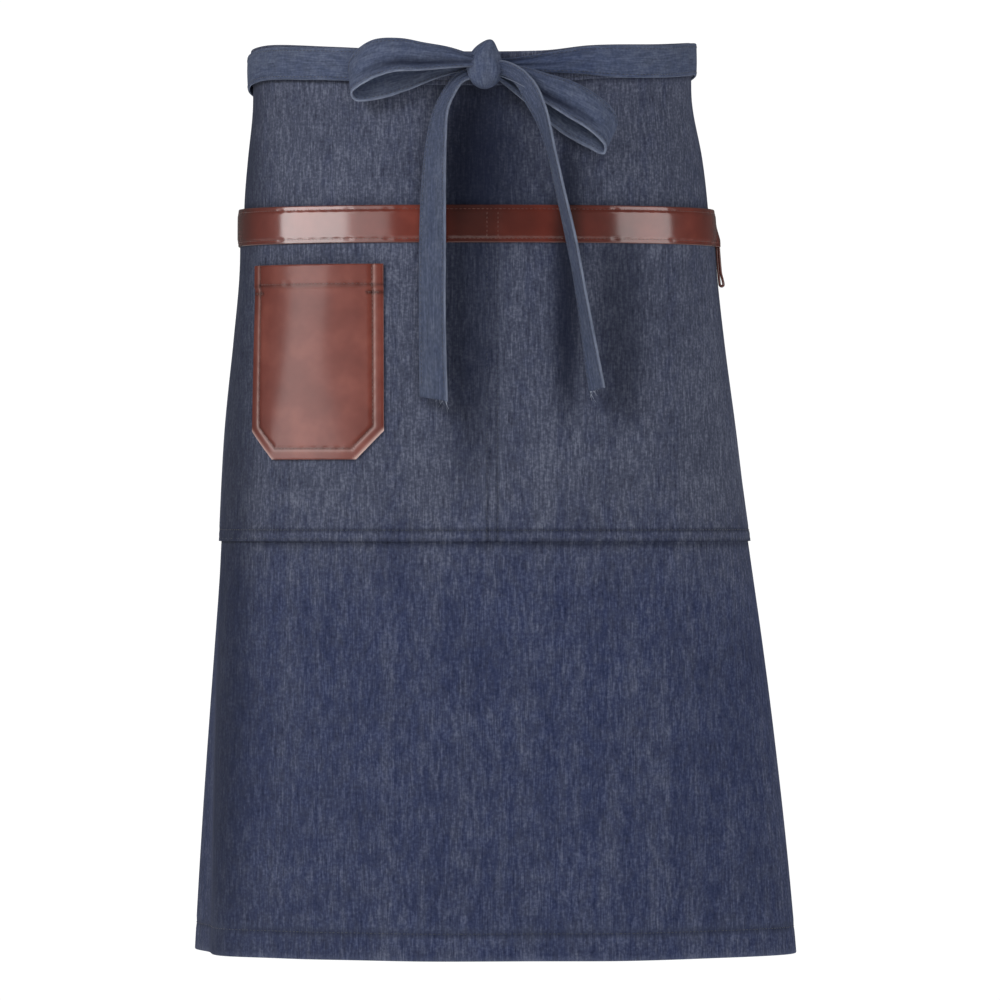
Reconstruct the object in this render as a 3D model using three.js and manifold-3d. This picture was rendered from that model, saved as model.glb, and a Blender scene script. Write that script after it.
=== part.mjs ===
// A denim waist apron with leather trim, in the form that it has when it is worn and tied in front.
// Millimetres, +Z up, the front faces -Y. The origin is the middle of the waist.

import * as THREE from "three";
import Module from "manifold-3d";

// The form that the cloth takes round the waist and down to the hem
const WAIST_WIDTH = 341;
const WAIST_DEPTH = 236;
const HEM_WIDTH = 464;
const HEM_DEPTH = 322;
const HEM_SHIFT = 19.5;
const HEM_BACK = 14;
const DROP = 695;
const SQUARENESS = 0.92;

// The cloth and its turned edges
const CLOTH_WIDTH = 762;
const DENIM = 1.1;
const HEM_TURN = 22;
const SIDE_TURN = 12;
const TURN_RAMP = 1.5;
const FOLD_DEPTH = 9;
const SEAM_X = 16;

// The waistband and the ties
const BAND_HEIGHT = 26;
const TIE_WIDTH = 25;
const TIE_THICKNESS = 2;
const TIE_EASE = 0.4;

// The double pocket, its leather trim and the loop under the trim
const LEATHER = 1.8;
const TRIM_DROP = 117;
const TRIM_HEIGHT = 29;
const TRIM_LAP = 2;
const POCKET_HALF = 285;
const POCKET_END = 375;
const POCKET_FULLNESS = 2.6;
const POCKET_ROUNDING = 0.5;
const LOOP_PLACE = 233;
const LOOP_WIDTH = 18;
const LOOP_HANG = 31;
const LOOP_EYE = 1.2;
const LOOP_BEND = 3;

// The leather phone pocket on the left half of the double pocket
const PHONE_PLACE = -141;
const PHONE_DROP = 162;
const PHONE_WIDTH = 117;
const PHONE_HEIGHT = 150;
const PHONE_CORNER = 22;
const PHONE_TURN = 17;
const PHONE_FULLNESS = 2.4;

// The bow
const KNOT_X = 10;
const KNOT_DROP = 12;
const KNOT_WIDTH = 28;
const KNOT_HEIGHT = 38;
const KNOT_DEPTH = 24;
const KNOT_PEAK = 4;
const KNOT_PEAK_POWER = 6;
const KNOT_END_TILT = 0.12;
const BOW_DEPTH = 30;
const LEFT_REACH = 106;
const RIGHT_REACH = 102;
const LEFT_TAIL = 256;
const LEFT_TAIL_SPREAD = 50;
const RIGHT_TAIL = 248;
const RIGHT_TAIL_SPREAD = 92;

// How finely the forms are cut into flats
const GAP = 0.3;
const COLUMN_STEP = 20;
const ROW_STEP = 54;
const RING_SAMPLES = 540;
const SLOPE_STEP = 1;
const LEAST_STEP = 1;
const RIBBON_STEPS = 26;
const KNOT_ROWS = 8;
const KNOT_SIDES = 14;

// Sections down the cloth. down is the share of DROP. width, shift and depth say how far the section
// has gone from its size at the waist to its size at the hem.
const SECTIONS = [
  { down: 0.0, width: 0.0, shift: 0.0, depth: 0.0 },
  { down: 0.05, width: 0.005, shift: 0.02, depth: 0.0 },
  { down: 0.11, width: 0.1, shift: 0.12, depth: 0.07 },
  { down: 0.16, width: 0.155, shift: 0.16, depth: 0.14 },
  { down: 0.24, width: 0.2, shift: 0.24, depth: 0.22 },
  { down: 0.32, width: 0.3, shift: 0.27, depth: 0.3 },
  { down: 0.42, width: 0.44, shift: 0.34, depth: 0.42 },
  { down: 0.54, width: 0.57, shift: 0.46, depth: 0.55 },
  { down: 0.66, width: 0.7, shift: 0.59, depth: 0.68 },
  { down: 0.8, width: 0.83, shift: 0.75, depth: 0.82 },
  { down: 1.0, width: 1.0, shift: 1.0, depth: 1.0 },
];

// How far the waist line rises round the waist, in shares of BAND_HEIGHT. turn is the share of a half
// turn from the front, to the right when positive.
const WAIST_LINE = [
  { turn: -1.0, rise: 0.0 },
  { turn: -0.5, rise: -0.2 },
  { turn: -0.35, rise: -0.16 },
  { turn: -0.2, rise: -0.3 },
  { turn: -0.05, rise: -0.46 },
  { turn: 0.09, rise: -0.44 },
  { turn: 0.17, rise: -0.26 },
  { turn: 0.3, rise: -0.17 },
  { turn: 0.5, rise: 0.0 },
  { turn: 1.0, rise: 0.0 },
];

// Soft folds that run up from the hem. at and spread are shares of half of CLOTH_WIDTH, out is a share
// of FOLD_DEPTH, and from is the share of DROP where the fold dies away.
const FOLDS = [
  { at: -0.93, spread: 0.11, out: 0.9, from: 0.25 },
  { at: -0.75, spread: 0.08, out: -0.7, from: 0.3 },
  { at: -0.6, spread: 0.07, out: 0.6, from: 0.35 },
  { at: -0.47, spread: 0.06, out: -0.25, from: 0.45 },
  { at: -0.3, spread: 0.09, out: -0.35, from: 0.5 },
  { at: -0.13, spread: 0.08, out: 0.4, from: 0.55 },
  { at: 0.08, spread: 0.08, out: -0.3, from: 0.5 },
  { at: 0.26, spread: 0.08, out: 0.45, from: 0.45 },
  { at: 0.47, spread: 0.09, out: -0.45, from: 0.5 },
  { at: 0.7, spread: 0.09, out: 0.7, from: 0.45 },
  { at: 0.85, spread: 0.07, out: -0.6, from: 0.35 },
  { at: 0.98, spread: 0.08, out: 0.8, from: 0.3 },
];

// The ties, from the end of the waistband across the middle of the back (lap 0) and round to the front
// (lap 1). drop is a share of BAND_HEIGHT, layer counts ties laid over the waistband, and width is a
// share of TIE_WIDTH. The first lies inside at the crossing and the second lies over it.
const INNER_TIE = [
  { lap: -0.16, drop: 0.0, layer: 0.0, width: 1.0 },
  { lap: 0.0, drop: 0.62, layer: 0.0, width: 1.0 },
  { lap: 0.135, drop: 1.2, layer: 0.05, width: 1.0 },
  { lap: 0.165, drop: 1.24, layer: 1.0, width: 1.0 },
  { lap: 0.3, drop: 0.8, layer: 1.0, width: 1.0 },
  { lap: 0.5, drop: 0.05, layer: 1.0, width: 1.0 },
  { lap: 0.7, drop: 0.02, layer: 1.0, width: 1.0 },
  { lap: 0.8, drop: 0.0, layer: 1.05, width: 0.98 },
  { lap: 0.9, drop: -0.12, layer: 1.2, width: 0.66 },
  { lap: 0.96, drop: -0.1, layer: 1.9, width: 0.42 },
  { lap: 1.0, drop: -0.06, layer: 3.2, width: 0.4 },
];
const OUTER_TIE = [
  { lap: -0.165, drop: 0.0, layer: 0.0, width: 1.0 },
  { lap: -0.12, drop: 0.15, layer: 0.7, width: 1.0 },
  { lap: -0.08, drop: 0.3, layer: 1.0, width: 1.0 },
  { lap: 0.0, drop: 0.62, layer: 1.0, width: 1.0 },
  { lap: 0.165, drop: 1.2, layer: 1.0, width: 1.0 },
  { lap: 0.3, drop: 0.75, layer: 1.0, width: 1.0 },
  { lap: 0.5, drop: 0.17, layer: 1.0, width: 1.0 },
  { lap: 0.7, drop: 0.03, layer: 1.0, width: 1.0 },
  { lap: 0.86, drop: 0.0, layer: 1.1, width: 0.9 },
  { lap: 0.95, drop: -0.05, layer: 1.7, width: 0.5 },
  { lap: 1.0, drop: -0.02, layer: 3.0, width: 0.42 },
];

// The two edges of each loop of the bow, from the knot out along the front leg, round the tip and back
// along the rear leg. across and up are shares of the loop's reach, out is a share of BOW_DEPTH.
const LEFT_LOOP = [
  { topAcross: 0.05, topUp: 0.07, topOut: 0.72, lowAcross: 0.05, lowUp: 0.0, lowOut: 0.78 },
  { topAcross: 0.25, topUp: 0.136, topOut: 0.76, lowAcross: 0.27, lowUp: -0.02, lowOut: 0.9 },
  { topAcross: 0.43, topUp: 0.17, topOut: 0.74, lowAcross: 0.46, lowUp: -0.04, lowOut: 0.98 },
  { topAcross: 0.61, topUp: 0.19, topOut: 0.68, lowAcross: 0.66, lowUp: -0.05, lowOut: 1.0 },
  { topAcross: 0.81, topUp: 0.165, topOut: 0.6, lowAcross: 0.84, lowUp: -0.11, lowOut: 0.92 },
  { topAcross: 0.96, topUp: 0.06, topOut: 0.46, lowAcross: 0.96, lowUp: -0.19, lowOut: 0.74 },
  { topAcross: 0.97, topUp: -0.02, topOut: 0.32, lowAcross: 0.93, lowUp: -0.24, lowOut: 0.58 },
  { topAcross: 0.84, topUp: 0.0, topOut: 0.26, lowAcross: 0.76, lowUp: -0.23, lowOut: 0.44 },
  { topAcross: 0.61, topUp: 0.05, topOut: 0.27, lowAcross: 0.56, lowUp: -0.17, lowOut: 0.4 },
  { topAcross: 0.36, topUp: 0.07, topOut: 0.3, lowAcross: 0.33, lowUp: -0.08, lowOut: 0.38 },
  { topAcross: 0.06, topUp: 0.06, topOut: 0.36, lowAcross: 0.06, lowUp: 0.0, lowOut: 0.38 },
];
const RIGHT_LOOP = [
  { topAcross: 0.05, topUp: 0.03, topOut: 0.6, lowAcross: 0.05, lowUp: -0.05, lowOut: 0.64 },
  { topAcross: 0.3, topUp: 0.0, topOut: 0.62, lowAcross: 0.26, lowUp: -0.14, lowOut: 0.7 },
  { topAcross: 0.47, topUp: -0.05, topOut: 0.62, lowAcross: 0.44, lowUp: -0.27, lowOut: 0.78 },
  { topAcross: 0.67, topUp: -0.11, topOut: 0.62, lowAcross: 0.61, lowUp: -0.38, lowOut: 0.84 },
  { topAcross: 0.85, topUp: -0.21, topOut: 0.6, lowAcross: 0.78, lowUp: -0.48, lowOut: 0.82 },
  { topAcross: 0.98, topUp: -0.33, topOut: 0.5, lowAcross: 0.9, lowUp: -0.59, lowOut: 0.7 },
  { topAcross: 0.99, topUp: -0.43, topOut: 0.36, lowAcross: 0.89, lowUp: -0.65, lowOut: 0.54 },
  { topAcross: 0.88, topUp: -0.38, topOut: 0.27, lowAcross: 0.77, lowUp: -0.6, lowOut: 0.42 },
  { topAcross: 0.67, topUp: -0.26, topOut: 0.26, lowAcross: 0.56, lowUp: -0.48, lowOut: 0.38 },
  { topAcross: 0.44, topUp: -0.14, topOut: 0.29, lowAcross: 0.35, lowUp: -0.3, lowOut: 0.38 },
  { topAcross: 0.06, topUp: 0.02, topOut: 0.4, lowAcross: 0.05, lowUp: -0.05, lowOut: 0.42 },
];

// The two edges of each tail, from the knot to its free end. across is a share of the tail's spread,
// down is a share of its length, and out is a share of BOW_DEPTH.
const LEFT_TAIL_EDGES = [
  { farAcross: 0.1, farDown: 0.0, farOut: 0.52, nearAcross: 0.08, nearDown: 0.03, nearOut: 0.58 },
  { farAcross: 0.42, farDown: 0.02, farOut: 0.5, nearAcross: 0.32, nearDown: 0.045, nearOut: 0.68 },
  { farAcross: 0.63, farDown: 0.07, farOut: 0.42, nearAcross: 0.46, nearDown: 0.085, nearOut: 0.76 },
  { farAcross: 0.79, farDown: 0.135, farOut: 0.36, nearAcross: 0.55, nearDown: 0.13, nearOut: 0.78 },
  { farAcross: 0.89, farDown: 0.22, farOut: 0.33, nearAcross: 0.58, nearDown: 0.22, nearOut: 0.76 },
  { farAcross: 0.97, farDown: 0.37, farOut: 0.32, nearAcross: 0.59, nearDown: 0.37, nearOut: 0.74 },
  { farAcross: 1.0, farDown: 0.55, farOut: 0.33, nearAcross: 0.59, nearDown: 0.55, nearOut: 0.72 },
  { farAcross: 1.0, farDown: 0.78, farOut: 0.34, nearAcross: 0.59, nearDown: 0.78, nearOut: 0.72 },
  { farAcross: 0.99, farDown: 0.985, farOut: 0.34, nearAcross: 0.56, nearDown: 1.0, nearOut: 0.74 },
];
const RIGHT_TAIL_EDGES = [
  { farAcross: 0.07, farDown: -0.02, farOut: 0.66, nearAcross: 0.07, nearDown: 0.02, nearOut: 0.62 },
  { farAcross: 0.19, farDown: -0.015, farOut: 0.78, nearAcross: 0.18, nearDown: 0.03, nearOut: 0.66 },
  { farAcross: 0.32, farDown: 0.01, farOut: 0.9, nearAcross: 0.27, nearDown: 0.06, nearOut: 0.68 },
  { farAcross: 0.43, farDown: 0.055, farOut: 1.02, nearAcross: 0.34, nearDown: 0.11, nearOut: 0.6 },
  { farAcross: 0.51, farDown: 0.125, farOut: 1.06, nearAcross: 0.44, nearDown: 0.175, nearOut: 0.5 },
  { farAcross: 0.59, farDown: 0.26, farOut: 1.06, nearAcross: 0.52, nearDown: 0.26, nearOut: 0.4 },
  { farAcross: 0.67, farDown: 0.39, farOut: 1.04, nearAcross: 0.6, nearDown: 0.39, nearOut: 0.34 },
  { farAcross: 0.76, farDown: 0.53, farOut: 1.04, nearAcross: 0.68, nearDown: 0.53, nearOut: 0.32 },
  { farAcross: 0.84, farDown: 0.69, farOut: 1.02, nearAcross: 0.76, nearDown: 0.69, nearOut: 0.32 },
  { farAcross: 0.93, farDown: 0.86, farOut: 0.98, nearAcross: 0.82, nearDown: 0.86, nearOut: 0.32 },
  { farAcross: 1.0, farDown: 0.99, farOut: 0.94, nearAcross: 0.87, nearDown: 1.0, nearOut: 0.34 },
];

const wasm = await Module();
wasm.setup();

// The value of one column of a table at a place between its rows, on a smooth curve through them
function readTable(table, key, at, column) {
  const last = table.length - 1;
  let row = 0;
  while (row < last - 1 && at > table[row + 1][key]) {
    row += 1;
  }
  const place = (k) => table[Math.min(Math.max(k, 0), last)][key];
  const value = (k) => table[Math.min(Math.max(k, 0), last)][column];
  const slope = (k) => (value(k + 1) - value(k - 1)) / (place(k + 1) - place(k - 1));
  const step = place(row + 1) - place(row);
  const t = THREE.MathUtils.clamp((at - place(row)) / step, 0, 1);
  const ease = t * t * (3 - 2 * t);
  const bend = t * (1 - t) * step;
  return THREE.MathUtils.lerp(value(row), value(row + 1), ease)
    + bend * ((1 - t) * slope(row) - t * slope(row + 1));
}

// A number raised to a power with its sign kept. It draws a sine or cosine towards a rounded square.
function signedPower(value, power) {
  return Math.sign(value) * Math.abs(value) ** power;
}

// The closed section of the worn form at one drop below the waist line: points with their turn from the
// front and their distance along the section, starting at the centre seam and going to the right
const rings = new Map();
function sectionRing(drop) {
  if (rings.has(drop)) {
    return rings.get(drop);
  }
  const down = drop / DROP;
  const widthShare = readTable(SECTIONS, "down", down, "width");
  const depthShare = readTable(SECTIONS, "down", down, "depth");
  const halfWidth = THREE.MathUtils.lerp(WAIST_WIDTH, HEM_WIDTH, widthShare) / 2;
  const halfDepth = THREE.MathUtils.lerp(WAIST_DEPTH, HEM_DEPTH, depthShare) / 2;
  const centreX = HEM_SHIFT * readTable(SECTIONS, "down", down, "shift");
  const centreY = HEM_BACK * depthShare;
  const seamTurn = Math.asin(signedPower((SEAM_X - centreX) / halfWidth, 1 / SQUARENESS));
  const points = [];
  let along = 0;
  for (let k = 0; k <= RING_SAMPLES; k += 1) {
    const turn = seamTurn + (2 * Math.PI * k) / RING_SAMPLES;
    const x = centreX + halfWidth * signedPower(Math.sin(turn), SQUARENESS);
    const y = centreY - halfDepth * signedPower(Math.cos(turn), SQUARENESS);
    if (k > 0) {
      along += Math.hypot(x - points[k - 1].x, y - points[k - 1].y);
    }
    points.push({ x, y, turn, along });
  }
  const ring = { points, halfWidth, halfDepth, centreX, centreY, length: along };
  rings.set(drop, ring);
  return ring;
}

// The point of a section at a distance along the cloth from the centre seam
function ringPoint(ring, along) {
  const wrapped = ((along % ring.length) + ring.length) % ring.length;
  let low = 0;
  let high = ring.points.length - 1;
  while (high - low > 1) {
    const middle = (low + high) >> 1;
    if (ring.points[middle].along <= wrapped) {
      low = middle;
    } else {
      high = middle;
    }
  }
  const from = ring.points[low];
  const to = ring.points[high];
  const share = (wrapped - from.along) / (to.along - from.along);
  const mix = (name) => THREE.MathUtils.lerp(from[name], to[name], share);
  return { x: mix("x"), y: mix("y"), turn: mix("turn") };
}

// How far the soft folds push the cloth out at a place on it
function foldOut(along, drop) {
  const place = along / (CLOTH_WIDTH / 2);
  let out = 0;
  for (const fold of FOLDS) {
    const grown = THREE.MathUtils.smoothstep(drop / DROP, fold.from, 1);
    out += fold.out * FOLD_DEPTH * grown * Math.exp(-(((place - fold.at) / fold.spread) ** 2));
  }
  return out;
}

// The middle of the cloth and the way out of it, at a distance along from the centre seam and a drop
// below the waist line. The waist line's rise dies away by the trim.
function clothNode(along, drop) {
  const ring = sectionRing(drop);
  const point = ringPoint(ring, along);
  const before = ringPoint(ring, along - SLOPE_STEP);
  const after = ringPoint(ring, along + SLOPE_STEP);
  const outward = new THREE.Vector3(after.y - before.y, before.x - after.x, 0).normalize();
  const turn = THREE.MathUtils.euclideanModulo(point.turn / Math.PI + 1, 2) - 1;
  const fade = 1 - THREE.MathUtils.smoothstep(drop, BAND_HEIGHT / 2, TRIM_DROP);
  const rise = readTable(WAIST_LINE, "turn", turn, "rise") * BAND_HEIGHT * fade;
  const middle = new THREE.Vector3(point.x, point.y, rise - drop);
  middle.addScaledVector(outward, foldOut(along, drop));
  return { middle, outward };
}

// Marks with even steps put in between them, none longer than the step given
function fillMarks(marks, step) {
  const filled = [marks[0]];
  for (let k = 1; k < marks.length; k += 1) {
    const span = marks[k] - marks[k - 1];
    const count = Math.ceil(span / step);
    for (let part = 1; part <= count; part += 1) {
      filled.push(marks[k - 1] + (span * part) / count);
    }
  }
  return filled;
}

const HALF_WAIST = sectionRing(0).length / 2;
const HALF_CLOTH = CLOTH_WIDTH / 2;
const COLUMNS = fillMarks([-HALF_WAIST, 0, HALF_WAIST], COLUMN_STEP);
const ROW_MARKS = [
  -BAND_HEIGHT / 2, BAND_HEIGHT / 2, TRIM_DROP, TRIM_DROP + TRIM_HEIGHT,
  PHONE_DROP + PHONE_HEIGHT, POCKET_END, DROP - HEM_TURN, DROP,
];
const ROWS = fillMarks(ROW_MARKS, ROW_STEP);
const NODES = COLUMNS.map((along) => ROWS.map((drop) => clothNode(along, drop)));

// Which interval of a rising list a value lies in, and its share of that interval
function locate(list, value) {
  let low = 0;
  while (low < list.length - 2 && value >= list[low + 1]) {
    low += 1;
  }
  return { low, share: (value - list[low]) / (list[low + 1] - list[low]) };
}

// A point on the flats of the cloth, pushed out from its middle. Every layer that is sewn on follows the
// same flats, so layers lie parallel.
function onCloth(along, drop, out) {
  const wrapped = THREE.MathUtils.euclideanModulo(along + HALF_WAIST, 2 * HALF_WAIST) - HALF_WAIST;
  const column = locate(COLUMNS, wrapped);
  const row = locate(ROWS, drop);
  const mix = (name) => {
    const corner = (i, j) => NODES[column.low + i][row.low + j][name];
    const upper = corner(0, 0).clone().lerp(corner(1, 0), column.share);
    const lower = corner(0, 1).clone().lerp(corner(1, 1), column.share);
    return upper.lerp(lower, row.share);
  };
  return mix("middle").addScaledVector(mix("outward").normalize(), out);
}

// The marks of a list that lie inside a span by more than a margin, with the span's own ends
function within(list, from, to, margin = LEAST_STEP) {
  const inside = list.filter((value) => value > from + margin && value < to - margin);
  return [from, ...inside, to];
}

// A closed solid through loops of points, one loop after another. A loop runs along one face and back
// along the other, so each end face is a strip of flats between opposite points. Both faces are cut
// along the same diagonals, which keeps layers parallel where they bend two ways.
function loft(loops) {
  const count = loops[0].length;
  const positions = loops.flatMap((loop) => loop.flatMap((point) => point.toArray()));
  const index = [];
  for (let k = 0; k + 1 < loops.length; k += 1) {
    for (let side = 0; side < count; side += 1) {
      const next = (side + 1) % count;
      const a = k * count + side;
      const b = k * count + next;
      if (side < count / 2) {
        index.push(a, b, b + count, a, b + count, a + count);
      } else {
        index.push(a, b, a + count, b, b + count, a + count);
      }
    }
  }
  const far = (loops.length - 1) * count;
  for (let a = 0; a + 1 < count / 2; a += 1) {
    const b = a + 1;
    const c = count - 2 - a;
    const d = count - 1 - a;
    index.push(a, c, b, a, d, c);
    index.push(far + a, far + b, far + c, far + a, far + c, far + d);
  }
  const geometry = new THREE.BufferGeometry();
  geometry.setAttribute("position", new THREE.Float32BufferAttribute(positions, 3));
  geometry.setIndex(index);
  return turnedOut(geometry);
}

// Six times the volume inside a closed mesh, positive when its faces point outwards
function signedVolume(geometry) {
  const position = geometry.getAttribute("position");
  const index = geometry.getIndex().array;
  const corners = [new THREE.Vector3(), new THREE.Vector3(), new THREE.Vector3()];
  let total = 0;
  for (let k = 0; k < index.length; k += 3) {
    corners.forEach((corner, side) => corner.fromBufferAttribute(position, index[k + side]));
    total += corners[0].dot(corners[1].cross(corners[2]));
  }
  return total;
}

// The same mesh with its faces pointing outwards
function turnedOut(geometry) {
  if (signedVolume(geometry) < 0) {
    const index = geometry.getIndex().array;
    for (let k = 0; k < index.length; k += 3) {
      [index[k + 1], index[k + 2]] = [index[k + 2], index[k + 1]];
    }
  }
  return geometry;
}

// A layer of cloth or leather: profile(along) gives its outline as drops and distances out, and it is
// carried along the cloth through the columns given
function layer(columns, profile) {
  return loft(columns.map((along) => profile(along).map(([drop, out]) => onCloth(along, drop, out))));
}

// The outline of a wall between two faces: down the outer face and back up the inner one
function wallProfile(drops, outerFace, innerFace) {
  const outer = drops.map((drop) => [drop, outerFace(drop)]);
  const inner = drops.map((drop) => [drop, innerFace(drop)]).reverse();
  return [...outer, ...inner];
}

// Layer heights, measured out from the middle of the panel
const PANEL_OUT = DENIM / 2;
const BAND_IN = PANEL_OUT + GAP;
const BAND_OUT = BAND_IN + DENIM;
const BAND_REACH = HALF_CLOTH + DENIM + GAP;
const TIE_LAYER = BAND_OUT + GAP + TIE_EASE + TIE_THICKNESS / 2;

// How far the double pocket stands off the panel, sewn down at its sides, its bottom and its centre seam
function pocketIn(along, drop) {
  const side = Math.abs(Math.sin((Math.PI * along) / POCKET_HALF)) ** POCKET_ROUNDING;
  const bottom = 1 - THREE.MathUtils.smoothstep(drop, TRIM_DROP, POCKET_END);
  return PANEL_OUT + GAP + POCKET_FULLNESS * side * bottom;
}
const pocketOut = (along, drop) => pocketIn(along, drop) + DENIM;

// The panel, with its hem and side edges turned in and so twice as thick
function skirtPanel() {
  const hemLine = DROP - HEM_TURN;
  const drops = within(ROWS, DENIM + GAP - BAND_HEIGHT / 2, DROP);
  drops.splice(drops.indexOf(hemLine) + 1, 0, hemLine + TURN_RAMP);
  const sideLine = HALF_CLOTH - SIDE_TURN;
  const inside = COLUMNS.filter((along) => Math.abs(along) < sideLine - TURN_RAMP);
  const columns = [-HALF_CLOTH, -sideLine, TURN_RAMP - sideLine, ...inside,
    sideLine - TURN_RAMP, sideLine, HALF_CLOTH];
  return layer(columns, (along) => wallProfile(drops, () => PANEL_OUT, (drop) => {
    const turned = drop > hemLine || (Math.abs(along) >= sideLine && drop > BAND_HEIGHT / 2);
    return turned ? -PANEL_OUT - DENIM : -PANEL_OUT;
  }));
}

// The waistband, folded over the top edge of the panel
function waistband() {
  const top = -BAND_HEIGHT / 2;
  const bottom = BAND_HEIGHT / 2;
  const fold = top + DENIM;
  const outline = [
    [bottom, BAND_OUT], [top, BAND_OUT], [top, -BAND_OUT], [bottom, -BAND_OUT],
    [bottom, -BAND_IN], [fold, -BAND_IN], [fold, BAND_IN], [bottom, BAND_IN],
  ];
  return layer(within(COLUMNS, -BAND_REACH, BAND_REACH), () => outline);
}

function doublePocket() {
  const drops = within(ROWS, TRIM_DROP + TRIM_LAP, POCKET_END);
  return layer(within(COLUMNS, -POCKET_HALF, POCKET_HALF), (along) => wallProfile(
    drops,
    (drop) => pocketOut(along, drop),
    (drop) => pocketIn(along, drop),
  ));
}

function pocketTrim() {
  const drops = [TRIM_DROP, TRIM_DROP + TRIM_HEIGHT];
  return layer(within(COLUMNS, -POCKET_HALF, POCKET_HALF), (along) => wallProfile(
    drops,
    (drop) => pocketOut(along, drop) + GAP + LEATHER,
    (drop) => pocketOut(along, drop) + GAP,
  ));
}

// A strap folded double, hanging from under the trim
function towelLoop() {
  const top = TRIM_DROP + TRIM_HEIGHT + GAP;
  const bottom = top + LOOP_HANG;
  const outline = (along) => {
    const back = pocketOut(along, top) + GAP;
    const front = back + 2 * LEATHER + LOOP_EYE;
    const middle = (back + front) / 2;
    return [
      [top, front], [bottom - LOOP_BEND, front], [bottom, middle], [bottom - LOOP_BEND, back], [top, back],
      [top, back + LEATHER], [bottom - LOOP_BEND, back + LEATHER], [bottom - LEATHER, middle],
      [bottom - LOOP_BEND, front - LEATHER], [top, front - LEATHER],
    ];
  };
  const half = LOOP_WIDTH / 2;
  return layer(within(COLUMNS, LOOP_PLACE - half, LOOP_PLACE + half), outline);
}

// The phone pocket, with clipped lower corners and a turned mouth that is twice as thick
function phonePocket() {
  const left = PHONE_PLACE - PHONE_WIDTH / 2;
  const right = PHONE_PLACE + PHONE_WIDTH / 2;
  const corners = [left, left + PHONE_CORNER, right - PHONE_CORNER, right];
  const columns = within(COLUMNS, left, right).concat(corners.slice(1, 3)).sort((a, b) => a - b);
  const turn = PHONE_TURN / PHONE_HEIGHT;
  const ramp = TURN_RAMP / PHONE_HEIGHT;
  const shares = [0, turn, ...fillMarks([turn + ramp, 1], ROW_STEP / PHONE_HEIGHT)];
  const profile = (along) => {
    const fromSide = Math.min(along - left, right - along);
    const height = PHONE_HEIGHT - Math.max(0, PHONE_CORNER - fromSide);
    const across = Math.sin((Math.PI * (along - left)) / PHONE_WIDTH);
    const full = (share) => PHONE_FULLNESS * across * (1 - share ** 2);
    const base = (share) => pocketOut(along, PHONE_DROP + share * height) + 2 * GAP + full(share);
    const outer = shares.map((share) => [
      PHONE_DROP + share * height,
      base(share) + LEATHER + (share <= turn ? LEATHER / 2 : 0),
    ]);
    const inner = shares.map((share) => [PHONE_DROP + share * height, base(share)]).reverse();
    return [...outer, ...inner];
  };
  return layer(columns, profile);
}

// Where the front of the cloth lies, at a place across and a drop below the waist line
function frontOfCloth(x, drop) {
  const ring = sectionRing(Math.round(THREE.MathUtils.clamp(drop, 0, DROP)));
  const share = Math.min(Math.abs(x - ring.centreX) / ring.halfWidth, 1);
  const power = 2 / SQUARENESS;
  return ring.centreY - ring.halfDepth * (1 - share ** power) ** (1 / power);
}

// A place in the bow, given from the knot across, up and out from the cloth
function bowPoint(across, up, out) {
  const x = KNOT_X + across;
  const z = up - KNOT_DROP;
  return new THREE.Vector3(x, frontOfCloth(x, -z) - out, z);
}

// A flat strip between two edge curves, with the thickness given. extra makes it larger on every side.
function strip(firstEdge, secondEdge, extra) {
  const first = new THREE.CatmullRomCurve3(firstEdge, false, "centripetal");
  const second = new THREE.CatmullRomCurve3(secondEdge, false, "centripetal");
  const middle = (t) => first.getPoint(t).add(second.getPoint(t)).multiplyScalar(0.5);
  const loops = [];
  const step = 1 / RIBBON_STEPS;
  for (let k = 0; k <= RIBBON_STEPS; k += 1) {
    const t = k * step;
    const ahead = middle(Math.min(t + step / 2, 1)).sub(middle(Math.max(t - step / 2, 0))).normalize();
    const a = first.getPoint(t);
    const b = second.getPoint(t);
    const across = b.clone().sub(a).normalize();
    const face = ahead.clone().cross(across).normalize().multiplyScalar(TIE_THICKNESS / 2 + extra);
    a.addScaledVector(across, -extra);
    b.addScaledVector(across, extra);
    loops.push([a.clone().add(face), b.clone().add(face), b.clone().sub(face), a.clone().sub(face)]);
  }
  return loft(loops);
}

function bowLoop(table, reach, side, extra) {
  const edge = (name) => table.map((row) => bowPoint(
    side * reach * row[name + "Across"],
    reach * row[name + "Up"],
    BOW_DEPTH * row[name + "Out"],
  ));
  return strip(edge("top"), edge("low"), extra);
}

function bowTail(table, length, spread, side, extra) {
  const edge = (name) => table.map((row) => bowPoint(
    side * spread * row[name + "Across"],
    -length * row[name + "Down"],
    BOW_DEPTH * row[name + "Out"],
  ));
  return strip(edge("far"), edge("near"), extra);
}

// The centre of the bow: a rounded lump with a small peak at its top. extra makes it larger all round.
function knotLump(extra) {
  const centre = bowPoint(0, 0, BAND_OUT + TIE_THICKNESS + KNOT_DEPTH / 2);
  const loops = [];
  for (let row = 0; row <= KNOT_ROWS; row += 1) {
    const tilt = THREE.MathUtils.lerp(KNOT_END_TILT, Math.PI - KNOT_END_TILT, row / KNOT_ROWS);
    const peak = KNOT_PEAK * Math.max(0, Math.cos(tilt)) ** KNOT_PEAK_POWER;
    const loop = [];
    for (let side = 0; side < KNOT_SIDES; side += 1) {
      const turn = (2 * Math.PI * side) / KNOT_SIDES;
      const offset = new THREE.Vector3(
        Math.sin(tilt) * Math.cos(turn) * (KNOT_WIDTH / 2 + extra) + peak,
        Math.sin(tilt) * Math.sin(turn) * (KNOT_DEPTH / 2 + extra),
        Math.cos(tilt) * (KNOT_HEIGHT / 2 + extra - KNOT_PEAK / 2) + peak,
      );
      loop.push(centre.clone().add(offset));
    }
    loops.push(loop);
  }
  return loft(loops);
}

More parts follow.
